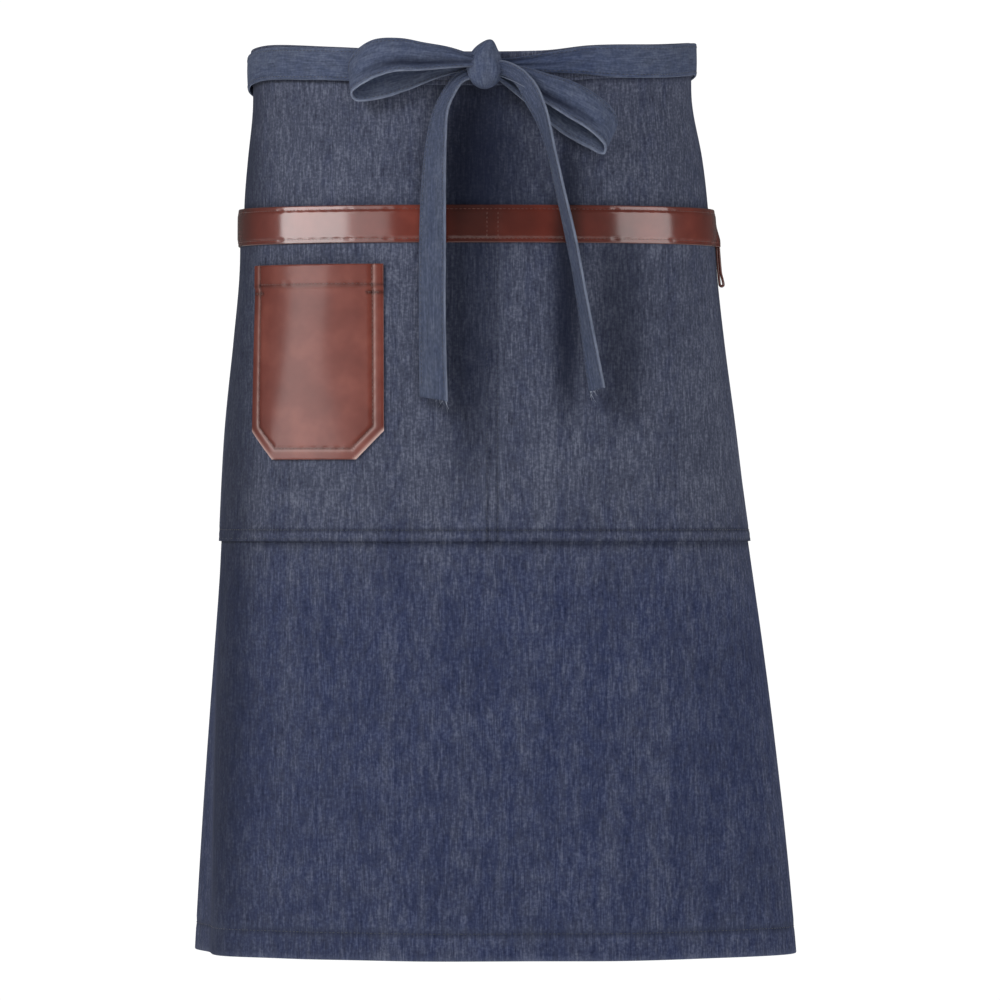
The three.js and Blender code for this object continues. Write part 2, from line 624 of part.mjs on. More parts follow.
// A tie that leaves one end of the waistband, crosses the back and comes round the other side. side is
// 1 when it comes round the right.
function waistTie(table, side) {
  const start = (BAND_REACH + GAP - HALF_WAIST) / HALF_WAIST;
  const laps = COLUMNS.map((along) => along / HALF_WAIST);
  const loops = within(laps, start, 1, LEAST_STEP / HALF_WAIST).map((lap) => {
    const along = side * HALF_WAIST * (1 - lap);
    const drop = readTable(table, "lap", lap, "drop") * BAND_HEIGHT;
    const half = (readTable(table, "lap", lap, "width") * TIE_WIDTH) / 2;
    const out = readTable(table, "lap", lap, "layer") * TIE_LAYER;
    const outer = out + TIE_THICKNESS / 2;
    const inner = out - TIE_THICKNESS / 2;
    const upper = drop - half;
    const lower = drop + half;
    const corners = [[upper, outer], [lower, outer], [lower, inner], [upper, inner]];
    return corners.map((corner) => onCloth(along, ...corner));
  });
  return loft(loops);
}

// A solid for joining and cutting, from a closed mesh
function toSolid(geometry) {
  return new wasm.Manifold(new wasm.Mesh({
    numProp: 3,
    vertProperties: geometry.getAttribute("position").array,
    triVerts: new Uint32Array(geometry.getIndex().array),
  }));
}

// The geometry with each of the others cut away. Of what is left, the largest body is kept.
function cutBy(geometry, others) {
  let solid = toSolid(geometry);
  for (const other of others) {
    solid = solid.subtract(toSolid(other));
  }
  const bodies = solid.decompose().sort((a, b) => b.volume() - a.volume());
  const mesh = bodies[0].getMesh();
  const cut = new THREE.BufferGeometry();
  cut.setAttribute("position", new THREE.Float32BufferAttribute(mesh.vertProperties, 3));
  cut.setIndex([...mesh.triVerts]);
  return cut;
}

const denim = new THREE.MeshStandardMaterial({ color: "#3f4762", roughness: 0.9, metalness: 0 });
const tieDenim = new THREE.MeshStandardMaterial({ color: "#4a5570", roughness: 0.9, metalness: 0 });
const leather = new THREE.MeshStandardMaterial({ color: "#7a443c", roughness: 0.4, metalness: 0 });

const apron = new THREE.Group();
function addPiece(name, geometry, material) {
  geometry.computeVertexNormals();
  const mesh = new THREE.Mesh(geometry, material);
  mesh.name = name;
  apron.add(mesh);
}

addPiece("skirt_panel", skirtPanel(), denim);
addPiece("waistband", waistband(), denim);
addPiece("double_pocket", doublePocket(), denim);
addPiece("pocket_trim", pocketTrim(), leather);
addPiece("towel_loop", towelLoop(), leather);
addPiece("phone_pocket", phonePocket(), leather);

// Each strip of the bow is cut clear of the knot and of the strips before it
const knotSpace = knotLump(GAP);
const leftTail = (extra) => bowTail(LEFT_TAIL_EDGES, LEFT_TAIL, LEFT_TAIL_SPREAD, -1, extra);
const rightTail = (extra) => bowTail(RIGHT_TAIL_EDGES, RIGHT_TAIL, RIGHT_TAIL_SPREAD, 1, extra);
const leftLoop = (extra) => bowLoop(LEFT_LOOP, LEFT_REACH, -1, extra);
const rightLoop = (extra) => bowLoop(RIGHT_LOOP, RIGHT_REACH, 1, extra);
addPiece("knot", knotLump(0), tieDenim);
addPiece("tail_left", cutBy(leftTail(0), [knotSpace]), tieDenim);
addPiece("tail_right", cutBy(rightTail(0), [knotSpace]), tieDenim);
addPiece("bow_loop_left", cutBy(leftLoop(0), [knotSpace, leftTail(GAP)]), tieDenim);
addPiece("bow_loop_right", cutBy(rightLoop(0), [knotSpace, rightTail(GAP)]), tieDenim);
const bowSpaces = [knotSpace, leftTail(GAP), rightTail(GAP), leftLoop(GAP), rightLoop(GAP)];
addPiece("tie_left", cutBy(waistTie(INNER_TIE, 1), bowSpaces), tieDenim);
addPiece("tie_right", cutBy(waistTie(OUTER_TIE, -1), bowSpaces), tieDenim);

export default apron;
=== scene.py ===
import bmesh
import bpy
import numpy as np
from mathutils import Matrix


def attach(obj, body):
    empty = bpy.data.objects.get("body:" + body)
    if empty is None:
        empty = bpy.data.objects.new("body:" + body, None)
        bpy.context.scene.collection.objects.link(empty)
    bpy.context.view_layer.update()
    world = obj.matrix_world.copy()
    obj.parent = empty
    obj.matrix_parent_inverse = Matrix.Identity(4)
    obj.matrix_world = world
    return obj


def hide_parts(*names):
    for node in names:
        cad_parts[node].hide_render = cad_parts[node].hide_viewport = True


# A denim waist apron with leather trim, worn and tied in a bow at the front.
# Metres, +Z up, the front faces -Y, and the origin is the middle of the waist.

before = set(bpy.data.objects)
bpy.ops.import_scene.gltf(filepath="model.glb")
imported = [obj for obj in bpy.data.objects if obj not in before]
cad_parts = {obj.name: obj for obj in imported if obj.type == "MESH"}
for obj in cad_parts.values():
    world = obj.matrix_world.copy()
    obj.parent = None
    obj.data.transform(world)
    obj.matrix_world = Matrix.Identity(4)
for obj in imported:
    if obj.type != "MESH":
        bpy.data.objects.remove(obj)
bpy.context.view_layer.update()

MM = 0.001

# The form that the cloth takes round the waist and down to the hem
WAIST_WIDTH = 341 * MM
WAIST_DEPTH = 236 * MM
HEM_WIDTH = 464 * MM
HEM_DEPTH = 322 * MM
HEM_SHIFT = 19.5 * MM
HEM_BACK = 14 * MM
DROP = 695 * MM
SQUARENESS = 0.92

# The cloth and its turned edges
CLOTH_WIDTH = 762 * MM
DENIM = 1.1 * MM
HEM_TURN = 22 * MM
SIDE_TURN = 12 * MM
POCKET_TURN = 10 * MM
TURN_RAMP = 1.5 * MM
FOLD_DEPTH = 9 * MM
SEAM_X = 16 * MM
GAP = 0.3 * MM

# The waistband and the ties
BAND_HEIGHT = 26 * MM
TIE_WIDTH = 25 * MM
TIE_THICKNESS = 2 * MM
TIE_EASE = 0.4 * MM

# The double pocket, its leather trim and the loop under the trim
LEATHER = 1.8 * MM
TRIM_DROP = 117 * MM
TRIM_HEIGHT = 29 * MM
TRIM_LAP = 2 * MM
TRIM_BEVEL = 0.7 * MM
TRIM_LIFT = 3 * MM
POCKET_HALF = 285 * MM
POCKET_END = 375 * MM
POCKET_FULLNESS = 2.6 * MM
POCKET_ROUNDING = 0.5
LOOP_PLACE = 233 * MM
LOOP_WIDTH = 18 * MM
LOOP_HANG = 31 * MM
LOOP_EYE = 1.2 * MM
LOOP_TUCK = 6 * MM
LOOP_SKIVE = 0.6 * MM

# The leather phone pocket on the left half of the double pocket
PHONE_PLACE = -141 * MM
PHONE_DROP = 162 * MM
PHONE_WIDTH = 117 * MM
PHONE_HEIGHT = 150 * MM
PHONE_CORNER = 22 * MM
PHONE_TURN = 17 * MM
PHONE_FULLNESS = 2.4 * MM
PHONE_SEAM = 8.5 * MM
PHONE_TACK = 14 * MM
PHONE_GROOVE = 1.3

# The phone pocket's ridge carries its highlight. It slants from PHONE_RIDGE_TOP, right of the pocket's
# middle at its mouth, to PHONE_RIDGE_LOW, left of the middle at its bottom.
PHONE_RIDGE = 2.2 * MM
PHONE_RIDGE_SPREAD = 26 * MM
PHONE_RIDGE_TOP = 13 * MM
PHONE_RIDGE_LOW = -23 * MM

# The bow
KNOT_X = 10 * MM
KNOT_DROP = 12 * MM
KNOT_WIDTH = 28 * MM
KNOT_HEIGHT = 38 * MM
KNOT_DEPTH = 24 * MM
KNOT_PEAK = 4 * MM
BOW_DEPTH = 30 * MM
LEFT_REACH = 106 * MM
RIGHT_REACH = 102 * MM
LEFT_TAIL = 256 * MM
LEFT_TAIL_SPREAD = 50 * MM
RIGHT_TAIL = 248 * MM
RIGHT_TAIL_SPREAD = 92 * MM
PLEAT = 1.1 * MM
LEG_BULGE = 2.2 * MM
LEG_VALLEY = 3.2 * MM
LEG_RIM = 2.0 * MM

# How a stitch and its seam lie
STITCH = 2.5 * MM
STITCH_PITCH = 3.4 * MM
THREAD = 0.55 * MM
SEAM_DENT = 0.45 * MM
SEAM_SPREAD = 1.5 * MM
SEAM_PULL = 0.35

# How finely the surfaces are cut
RING_SAMPLES = 1440
RING_STEP = 1 * MM
CLOTH_STEP = 4 * MM
LEATHER_STEP = 1.5 * MM
STRIP_STEP = 1.5 * MM
RIM = np.radians([0, 30, 60, 90])


def columns(names, *rows):
    """A short table as arrays, one for each named column."""
    return dict(zip(names.split(), np.array(rows, float).T))


# Sections down the cloth. down is the share of DROP. width, shift and depth say how far the section has
# gone from its size at the waist to its size at the hem.
SECTIONS = columns(
    "down width shift depth",
    (0.0, 0.0, 0.0, 0.0),
    (0.05, 0.005, 0.02, 0.0),
    (0.11, 0.1, 0.12, 0.07),
    (0.16, 0.155, 0.16, 0.14),
    (0.24, 0.2, 0.24, 0.22),
    (0.32, 0.3, 0.27, 0.3),
    (0.42, 0.44, 0.34, 0.42),
    (0.54, 0.57, 0.46, 0.55),
    (0.66, 0.7, 0.59, 0.68),
    (0.8, 0.83, 0.75, 0.82),
    (1.0, 1.0, 1.0, 1.0),
)

# How far the waist line rises, in shares of BAND_HEIGHT. lap is the share of a half turn from the front.
WAIST_LINE = columns(
    "lap rise",
    (-1.0, 0.0),
    (-0.5, -0.2),
    (-0.35, -0.16),
    (-0.2, -0.3),
    (-0.05, -0.46),
    (0.09, -0.44),
    (0.17, -0.26),
    (0.3, -0.17),
    (0.5, 0.0),
    (1.0, 0.0),
)

# Soft folds that run up from the hem. at and spread are shares of half of CLOTH_WIDTH, out is a share of
# FOLD_DEPTH, and start is the share of DROP where the fold dies away.
FOLDS = columns(
    "at spread out start",
    (-0.93, 0.11, 0.9, 0.25),
    (-0.75, 0.08, -0.7, 0.3),
    (-0.6, 0.07, 0.6, 0.35),
    (-0.47, 0.06, -0.25, 0.45),
    (-0.3, 0.09, -0.35, 0.5),
    (-0.13, 0.08, 0.4, 0.55),
    (0.08, 0.08, -0.3, 0.5),
    (0.26, 0.08, 0.45, 0.45),
    (0.47, 0.09, -0.45, 0.5),
    (0.7, 0.09, 0.7, 0.45),
    (0.85, 0.07, -0.6, 0.35),
    (0.98, 0.08, 0.8, 0.3),
)

# The ties, from the end of the waistband across the middle of the back (lap 0) and round to the front
# (lap 1). drop is a share of BAND_HEIGHT, layer counts ties over the waistband, width is of TIE_WIDTH.
INNER_TIE = columns(
    "lap drop layer width",
    (-0.16, 0.0, 0.0, 1.0),
    (0.0, 0.62, 0.0, 1.0),
    (0.135, 1.2, 0.05, 1.0),
    (0.165, 1.24, 1.0, 1.0),
    (0.3, 0.8, 1.0, 1.0),
    (0.5, 0.05, 1.0, 1.0),
    (0.7, 0.02, 1.0, 1.0),
    (0.8, 0.0, 1.05, 0.98),
    (0.9, -0.12, 1.2, 0.66),
    (0.96, -0.1, 1.9, 0.42),
    (1.0, -0.06, 3.2, 0.4),
)
OUTER_TIE = columns(
    "lap drop layer width",
    (-0.165, 0.0, 0.0, 1.0),
    (-0.12, 0.15, 0.7, 1.0),
    (-0.08, 0.3, 1.0, 1.0),
    (0.0, 0.62, 1.0, 1.0),
    (0.165, 1.2, 1.0, 1.0),
    (0.3, 0.75, 1.0, 1.0),
    (0.5, 0.17, 1.0, 1.0),
    (0.7, 0.03, 1.0, 1.0),
    (0.86, 0.0, 1.1, 0.9),
    (0.95, -0.05, 1.7, 0.5),
    (1.0, -0.02, 3.0, 0.42),
)

# The two edges of each loop of the bow, from the knot out along the front leg, round the tip and back
# along the rear leg. across and up are shares of the loop's reach, out is a share of BOW_DEPTH.
LEFT_LOOP = columns(
    "top_across top_up top_out low_across low_up low_out",
    (0.05, 0.07, 0.72, 0.05, 0.0, 0.78),
    (0.25, 0.136, 0.76, 0.27, -0.02, 0.9),
    (0.43, 0.17, 0.74, 0.46, -0.04, 0.98),
    (0.61, 0.205, 0.68, 0.66, -0.05, 1.0),
    (0.81, 0.195, 0.6, 0.84, -0.11, 0.92),
    (0.96, 0.085, 0.46, 0.96, -0.19, 0.74),
    (0.97, -0.02, 0.32, 0.93, -0.24, 0.58),
    (0.84, 0.0, 0.26, 0.76, -0.23, 0.44),
    (0.61, 0.05, 0.27, 0.56, -0.17, 0.4),
    (0.36, 0.07, 0.3, 0.33, -0.08, 0.38),
    (0.06, 0.06, 0.36, 0.06, 0.0, 0.38),
)
RIGHT_LOOP = columns(
    "top_across top_up top_out low_across low_up low_out",
    (0.05, 0.03, 0.6, 0.05, -0.05, 0.64),
    (0.3, 0.0, 0.62, 0.26, -0.14, 0.7),
    (0.47, -0.05, 0.62, 0.44, -0.27, 0.78),
    (0.67, -0.11, 0.62, 0.61, -0.38, 0.84),
    (0.85, -0.21, 0.6, 0.78, -0.48, 0.82),
    (0.98, -0.33, 0.5, 0.9, -0.59, 0.7),
    (0.99, -0.43, 0.36, 0.89, -0.65, 0.54),
    (0.88, -0.38, 0.27, 0.77, -0.6, 0.42),
    (0.67, -0.26, 0.26, 0.56, -0.48, 0.38),
    (0.44, -0.14, 0.29, 0.35, -0.3, 0.38),
    (0.06, 0.02, 0.4, 0.05, -0.05, 0.42),
)

# The two edges of each tail, from the knot to its free end. across is a share of the tail's spread, down
# is a share of its length, and out is a share of BOW_DEPTH.
LEFT_TAIL_EDGES = columns(
    "far_across far_down far_out near_across near_down near_out",
    (0.1, 0.0, 0.52, 0.08, 0.03, 0.58),
    (0.42, 0.02, 0.5, 0.32, 0.045, 0.68),
    (0.63, 0.07, 0.42, 0.46, 0.085, 0.76),
    (0.79, 0.135, 0.36, 0.55, 0.13, 0.78),
    (0.89, 0.22, 0.33, 0.58, 0.22, 0.76),
    (0.97, 0.37, 0.32, 0.59, 0.37, 0.74),
    (1.0, 0.55, 0.33, 0.59, 0.55, 0.72),
    (1.0, 0.78, 0.34, 0.59, 0.78, 0.72),
    (0.99, 0.985, 0.34, 0.56, 1.0, 0.74),
)
RIGHT_TAIL_EDGES = columns(
    "far_across far_down far_out near_across near_down near_out",
    (0.07, -0.02, 0.66, 0.07, 0.02, 0.62),
    (0.19, -0.015, 0.78, 0.18, 0.03, 0.66),
    (0.32, 0.01, 0.9, 0.27, 0.06, 0.68),
    (0.43, 0.055, 1.02, 0.34, 0.11, 0.6),
    (0.51, 0.125, 1.06, 0.44, 0.175, 0.5),
    (0.59, 0.26, 1.06, 0.52, 0.26, 0.4),
    (0.67, 0.39, 1.04, 0.6, 0.39, 0.34),
    (0.76, 0.53, 1.04, 0.68, 0.53, 0.32),
    (0.84, 0.69, 1.02, 0.76, 0.69, 0.32),
    (0.93, 0.86, 0.98, 0.82, 0.86, 0.32),
    (1.0, 0.99, 0.94, 0.87, 1.0, 0.34),
)


# The camera: level, square to the front, far enough back for the long lens of a product photo
CAMERA_PLACE = (21.84 * MM, -6.5, -343.0 * MM)
VIEW_WIDTH = 780 * MM
SENSOR_WIDTH = 36.0


def make_camera():
    """The camera looks along +Y, and its lens shows VIEW_WIDTH at the plane of the waist's middle."""
    data = bpy.data.cameras.new("camera")
    data.sensor_width = SENSOR_WIDTH
    data.lens = SENSOR_WIDTH * -CAMERA_PLACE[1] / VIEW_WIDTH
    camera = bpy.data.objects.new("camera", data)
    camera.location = CAMERA_PLACE
    camera.rotation_euler = (np.pi / 2, 0, 0)
    bpy.context.collection.objects.link(camera)
    bpy.context.scene.camera = camera


make_camera()


def smoothstep(value, low, high):
    """0 below low, 1 above high, and 3t^2 - 2t^3 between them."""
    t = np.clip((value - low) / (high - low), 0, 1)
    return t * t * (3 - 2 * t)


def curve(table, key, column, at):
    """A smooth curve through one column of a table: a cubic between each two rows, whose slope at a row
    is the rise over the run of the rows on either side of it."""
    place, value = table[key], table[column]
    last = len(place) - 1
    before = np.maximum(np.arange(last + 1) - 1, 0)
    after = np.minimum(np.arange(last + 1) + 1, last)
    slope = (value[after] - value[before]) / (place[after] - place[before])
    row = np.clip(np.searchsorted(place, at) - 1, 0, last - 1)
    step = place[row + 1] - place[row]
    t = np.clip((at - place[row]) / step, 0, 1)
    ease = t * t * (3 - 2 * t)
    bend = step * t * (1 - t) * ((1 - t) * slope[row] - t * slope[row + 1])
    return value[row] + (value[row + 1] - value[row]) * ease + bend


def bell(value, centre, spread):
    """A bell curve, 1 at its centre."""
    return np.exp(-(((value - centre) / spread) ** 2))


def signed_power(value, power):
    """A number raised to a power with its sign kept."""
    return np.sign(value) * np.abs(value) ** power


def section(drop):
    """Half width, half depth and middle of the worn form's section at a drop."""
    down = drop / DROP
    wide = curve(SECTIONS, "down", "width", down)
    deep = curve(SECTIONS, "down", "depth", down)
    half_width = (WAIST_WIDTH + (HEM_WIDTH - WAIST_WIDTH) * wide) / 2
    half_depth = (WAIST_DEPTH + (HEM_DEPTH - WAIST_DEPTH) * deep) / 2
    middle_x = HEM_SHIFT * curve(SECTIONS, "down", "shift", down)
    return half_width, half_depth, middle_x, HEM_BACK * deep


def section_point(turn, drop):
    """A point of a section: x = width times sin, y = -depth times cos, each drawn towards a square."""
    half_width, half_depth, middle_x, middle_y = section(drop)
    x = middle_x + half_width * signed_power(np.sin(turn), SQUARENESS)
    y = middle_y - half_depth * signed_power(np.cos(turn), SQUARENESS)
    return x, y


def turn_at(along, drop):
    """The turn where a distance along the cloth from the centre seam is reached: the running length of
    each section, read backwards."""
    levels, level = np.unique(drop.ravel(), return_inverse=True)
    half_width, _, middle_x, _ = section(levels)
    start = np.arcsin(signed_power((SEAM_X - middle_x) / half_width, 1 / SQUARENESS))
    turn = start[:, None] + np.linspace(0, 2 * np.pi, RING_SAMPLES + 1)
    x, y = section_point(turn, levels[:, None])
    steps = np.hypot(np.diff(x), np.diff(y))
    run = np.concatenate([np.zeros((len(levels), 1)), np.cumsum(steps, axis=1)], axis=1)
    apart = np.arange(len(levels)) * 2 * run.max()
    wrapped = along.ravel() % run[level.ravel(), -1] + apart[level.ravel()]
    return np.interp(wrapped, (run + apart[:, None]).ravel(), turn.ravel()).reshape(along.shape)


def fold_out(along, drop):
    """How far the soft folds push the cloth out: one bell curve across the cloth for each fold, growing
    from its start down to the hem."""
    place = along[..., None] / (CLOTH_WIDTH / 2)
    grown = smoothstep(drop[..., None] / DROP, FOLDS["start"], 1)
    return FOLD_DEPTH * (FOLDS["out"] * grown * bell(place, FOLDS["at"], FOLDS["spread"])).sum(axis=-1)


def on_form(along, drop, out):
    """Points at distances along from the centre seam, drops below the waist line, and distances out from
    the middle of the cloth, level with the ground."""
    along, drop, out = (np.array(a, float) for a in np.broadcast_arrays(along, drop, out))
    turn = turn_at(along, drop)
    x, y = section_point(turn, drop)
    x_before, y_before = section_point(turn_at(along - RING_STEP, drop), drop)
    x_after, y_after = section_point(turn_at(along + RING_STEP, drop), drop)
    out_x, out_y = y_after - y_before, x_before - x_after
    reach = (fold_out(along, drop) + out) / np.hypot(out_x, out_y)
    lap = (turn / np.pi + 1) % 2 - 1
    fade = 1 - smoothstep(drop, BAND_HEIGHT / 2, TRIM_DROP)
    rise = curve(WAIST_LINE, "lap", "rise", lap) * BAND_HEIGHT * fade
    return np.stack([x + out_x * reach, y + out_y * reach, rise - drop], axis=-1)


def rimmed(marks, step, start_round, end_round):
    """Places from the first mark to the last, evenly filled in, with a half-round at each end: there the
    place goes out by the sine of an angle while the wall's fullness falls by its cosine."""
    marks = [marks[0] + start_round, *marks[1:-1], marks[-1] - end_round]
    core = [np.linspace(a, b, max(1, round((b - a) / step)), endpoint=False)
            for a, b in zip(marks[:-1], marks[1:])]
    head = marks[0] - start_round * np.sin(RIM[:0:-1])
    tail = marks[-1] + end_round * np.sin(RIM)
    full = np.ones(sum(len(c) for c in core))
    places = np.concatenate([head, *core, tail])
    return places, np.concatenate([np.cos(RIM[:0:-1]), full, np.cos(RIM)])


def seam_dent(distance, run):
    """How far a row of stitches pulls the cloth in: a bell across the row, a little deeper at every
    third stitch along it."""
    pull = 1 + SEAM_PULL * np.sin(2 * np.pi * run / (3 * STITCH_PITCH))
    return -SEAM_DENT * pull * bell(distance, 0, SEAM_SPREAD)


# Layer heights, measured out from the middle of the panel
PANEL_OUT = DENIM / 2
BAND_IN = PANEL_OUT + GAP
BAND_OUT = BAND_IN + DENIM
BAND_REACH = CLOTH_WIDTH / 2 + DENIM + GAP
TIE_LAYER = BAND_OUT + GAP + TIE_EASE + TIE_THICKNESS / 2

# Where the rows of stitches run
HEM_SEAM = DROP - HEM_TURN + MM
SIDE_SEAM = CLOTH_WIDTH / 2 - SIDE_TURN + 3 * MM
BAND_SEAM = BAND_HEIGHT / 2 - 3 * MM
POCKET_EDGE_SEAM = POCKET_END - 2.2 * MM
POCKET_SEAM = POCKET_END - 9 * MM
POCKET_SIDE_SEAM = POCKET_HALF - 2.5 * MM
CENTRE_SEAM = 4.2 * MM
TRIM_SEAM = 3.2 * MM
PHONE_TURN_SEAM = PHONE_TURN - 2 * MM


def panel_faces(along, drop):
    """The panel's outer and inner face: one layer of cloth, and two where the hem and sides turn in."""
    hem = smoothstep(drop, DROP - HEM_TURN, DROP - HEM_TURN + TURN_RAMP)
    side_line = CLOTH_WIDTH / 2 - SIDE_TURN
    side = smoothstep(np.abs(along), side_line, side_line + TURN_RAMP)
    side = side * smoothstep(drop, BAND_HEIGHT / 2, BAND_HEIGHT / 2 + TURN_RAMP)
    dents = seam_dent(drop - HEM_SEAM, along) + seam_dent(np.abs(along) - SIDE_SEAM, drop)
    return PANEL_OUT + dents, -PANEL_OUT - DENIM * np.maximum(hem, side) + dents / 2


def pocket_base(along, drop):
    """How far the double pocket stands off the panel: full between its seams, down at its bottom."""
    side = np.abs(np.sin(np.pi * along / POCKET_HALF)) ** POCKET_ROUNDING
    bottom = 1 - smoothstep(drop, TRIM_DROP, POCKET_END)
    return PANEL_OUT + GAP + POCKET_FULLNESS * side * bottom


def pocket_faces(along, drop):
    """The pocket's outer and inner face, with its bottom and side edges turned under."""
    inner = pocket_base(along, drop)
    turned = np.maximum(
        smoothstep(drop, POCKET_END - POCKET_TURN - TURN_RAMP, POCKET_END - POCKET_TURN),
        smoothstep(np.abs(along), POCKET_HALF - POCKET_TURN - TURN_RAMP, POCKET_HALF - POCKET_TURN),
    )
    dents = (seam_dent(drop - POCKET_SEAM, along) + seam_dent(drop - POCKET_EDGE_SEAM, along)
             + seam_dent(np.abs(along) - CENTRE_SEAM, drop)
             + seam_dent(np.abs(along) - POCKET_SIDE_SEAM, drop))
    return inner + DENIM * (1 + 0.7 * turned) + dents, inner


def trim_faces(along, drop):
    """The strap's outer face, flat between its two rows of stitches and bevelled outside them, and its
    flat back. It lifts over the ends of the towel loop, which are sewn under it."""
    over_loop = 1 - smoothstep(np.abs(along - LOOP_PLACE), LOOP_WIDTH / 2, LOOP_WIDTH)
    low_edge = smoothstep(drop, TRIM_DROP + TRIM_HEIGHT / 3, TRIM_DROP + TRIM_HEIGHT)
    back = pocket_base(along, drop) + DENIM + GAP + TRIM_LIFT * over_loop * low_edge
    from_edge = TRIM_HEIGHT / 2 - np.abs(drop - TRIM_DROP - TRIM_HEIGHT / 2)
    bevel = TRIM_BEVEL * (1 - smoothstep(from_edge, 0, 2 * TRIM_SEAM)) ** 2
    grooves = (seam_dent(drop - TRIM_DROP - TRIM_SEAM, along)
               + seam_dent(drop - TRIM_DROP - TRIM_HEIGHT + TRIM_SEAM, along)
               + seam_dent(np.abs(along) - CENTRE_SEAM, drop))
    return back + LEATHER - bevel + grooves, back


def phone_height(along):
    """The phone pocket's height at a place across it: its lower corners are clipped at 45 degrees."""
    from_side = PHONE_WIDTH / 2 - np.abs(along - PHONE_PLACE)
    return PHONE_HEIGHT - np.maximum(0, PHONE_CORNER - from_side)


def phone_edges(along, down):
    """How far a place on the phone pocket is from its sides, its bottom and its clipped corners."""
    from_side = PHONE_WIDTH / 2 - np.abs(along - PHONE_PLACE)
    from_low = PHONE_HEIGHT - down
    return from_side, from_low, (from_side + from_low - PHONE_CORNER) / np.sqrt(2)


def phone_faces(along, share):
    """The phone pocket's faces: full in the middle with a slanting ridge, thicker at its turned mouth,
    with a groove pressed in by the seam that follows its sides, clipped corners and bottom."""
    height = phone_height(along)
    drop = PHONE_DROP + share * height
    from_side = PHONE_WIDTH / 2 - np.abs(along - PHONE_PLACE)
    crest = PHONE_PLACE + PHONE_RIDGE_TOP + (PHONE_RIDGE_LOW - PHONE_RIDGE_TOP) * share
    ridge = PHONE_RIDGE * bell(along, crest, PHONE_RIDGE_SPREAD)
    held = np.cos(np.pi * (along - PHONE_PLACE) / PHONE_WIDTH) * (1 - share ** 2)
    back = pocket_base(along, drop) + DENIM + 2 * GAP + (PHONE_FULLNESS + ridge) * held
    down = share * height
    turn = 1 - smoothstep(down, PHONE_TURN, PHONE_TURN + TURN_RAMP)
    from_edge = np.minimum.reduce(phone_edges(along, down))
    groove = PHONE_GROOVE * seam_dent(from_edge - PHONE_SEAM, down + along)
    band = seam_dent(down - PHONE_TURN_SEAM, along) * smoothstep(from_side, PHONE_SEAM, PHONE_SEAM + MM)
    return back + LEATHER * (1 + turn / 2) + groove + band, back


def make_mesh(name, points, faces, uv=None, wear_and_highlight=None, lining=None, materials=(), shade_and_grime=None):
    """A mesh object at the origin, smooth, with its normals turned out. faces is a list of arrays, each
    of faces with the same number of corners. lining marks the faces that take the second material. Two
    values per vertex go to the material: one is 1 where the piece is pale, abraded in places and painted
    as a highlight in others, and one is 1 where its tone is darkest, from grime and painted shade."""
    mesh = bpy.data.meshes.new(name)
    mesh.from_pydata(points.tolist(), [], [face for group in faces for face in group.tolist()])
    for material in materials:
        mesh.materials.append(material)
    if lining is not None:
        mesh.polygons.foreach_set("material_index", lining.astype(np.int32))
    loops = np.empty(len(mesh.loops), np.int32)
    mesh.loops.foreach_get("vertex_index", loops)
    if uv is not None:
        mesh.uv_layers.new(name="UVMap").data.foreach_set("uv", uv[loops].astype(np.float32).ravel())
    for label, values in (("wear_and_highlight", wear_and_highlight), ("shade_and_grime", shade_and_grime)):
        if values is not None:
            attribute = mesh.attributes.new(label, "FLOAT", "POINT")
            attribute.data.foreach_set("value", values.astype(np.float32))
    mesh.polygons.foreach_set("use_smooth", np.ones(len(mesh.polygons), bool))
    shape = bmesh.new()
    shape.from_mesh(mesh)
    bmesh.ops.recalc_face_normals(shape, faces=shape.faces)
    shape.to_mesh(mesh)
    shape.free()
    thing = bpy.data.objects.new(name, mesh)
    bpy.context.collection.objects.link(thing)
    return thing


def quads(ids):
    """The squares between neighbours of a grid of vertex numbers."""
    return np.stack([ids[:-1, :-1], ids[:-1, 1:], ids[1:, 1:], ids[1:, :-1]], axis=-1).reshape(-1, 4)


def tube_quads(ids):
    """The squares of a tube, from rows of vertex numbers that each run once round it."""
    return quads(np.concatenate([ids, ids[:, :1]], axis=1))


def cone(ring, tip):
    """The triangles between a closed row of vertex numbers and one tip."""
    return np.stack([np.full(len(ring), tip), np.roll(ring, -1), ring], axis=-1)


def wall(name, outer, inner, uv, wear_and_highlight, materials, lining=None, shade_and_grime=None, shade_and_grime_inside=None):
    """A closed wall between two grids of points that meet all round their borders. The inner grid takes
    its border from the outer one, and its own grime and painted shade if they are given for it."""
    rows, cols = outer.shape[:2]
    outer_ids = np.arange(rows * cols).reshape(rows, cols)
    inner_ids = outer_ids.copy()
    inner_ids[1:-1, 1:-1] = rows * cols + np.arange((rows - 2) * (cols - 2)).reshape(rows - 2, cols - 2)
    points = np.concatenate([outer.reshape(-1, 3), inner[1:-1, 1:-1].reshape(-1, 3)])
    faces = [quads(outer_ids), quads(inner_ids)[:, ::-1]]
    uv = np.concatenate([uv.reshape(-1, 2), uv[1:-1, 1:-1].reshape(-1, 2)])
    wear_and_highlight = np.concatenate([wear_and_highlight.ravel(), wear_and_highlight[1:-1, 1:-1].ravel()])
    if shade_and_grime is not None:
        inside = shade_and_grime if shade_and_grime_inside is None else shade_and_grime_inside
        shade_and_grime = np.concatenate([shade_and_grime.ravel(), inside[1:-1, 1:-1].ravel()])
    if lining is not None:
        lining = np.concatenate([np.zeros(len(faces[0]), bool), lining[:-1, :-1].ravel()])
    return make_mesh(name, points, faces, uv, wear_and_highlight, lining, materials, shade_and_grime)


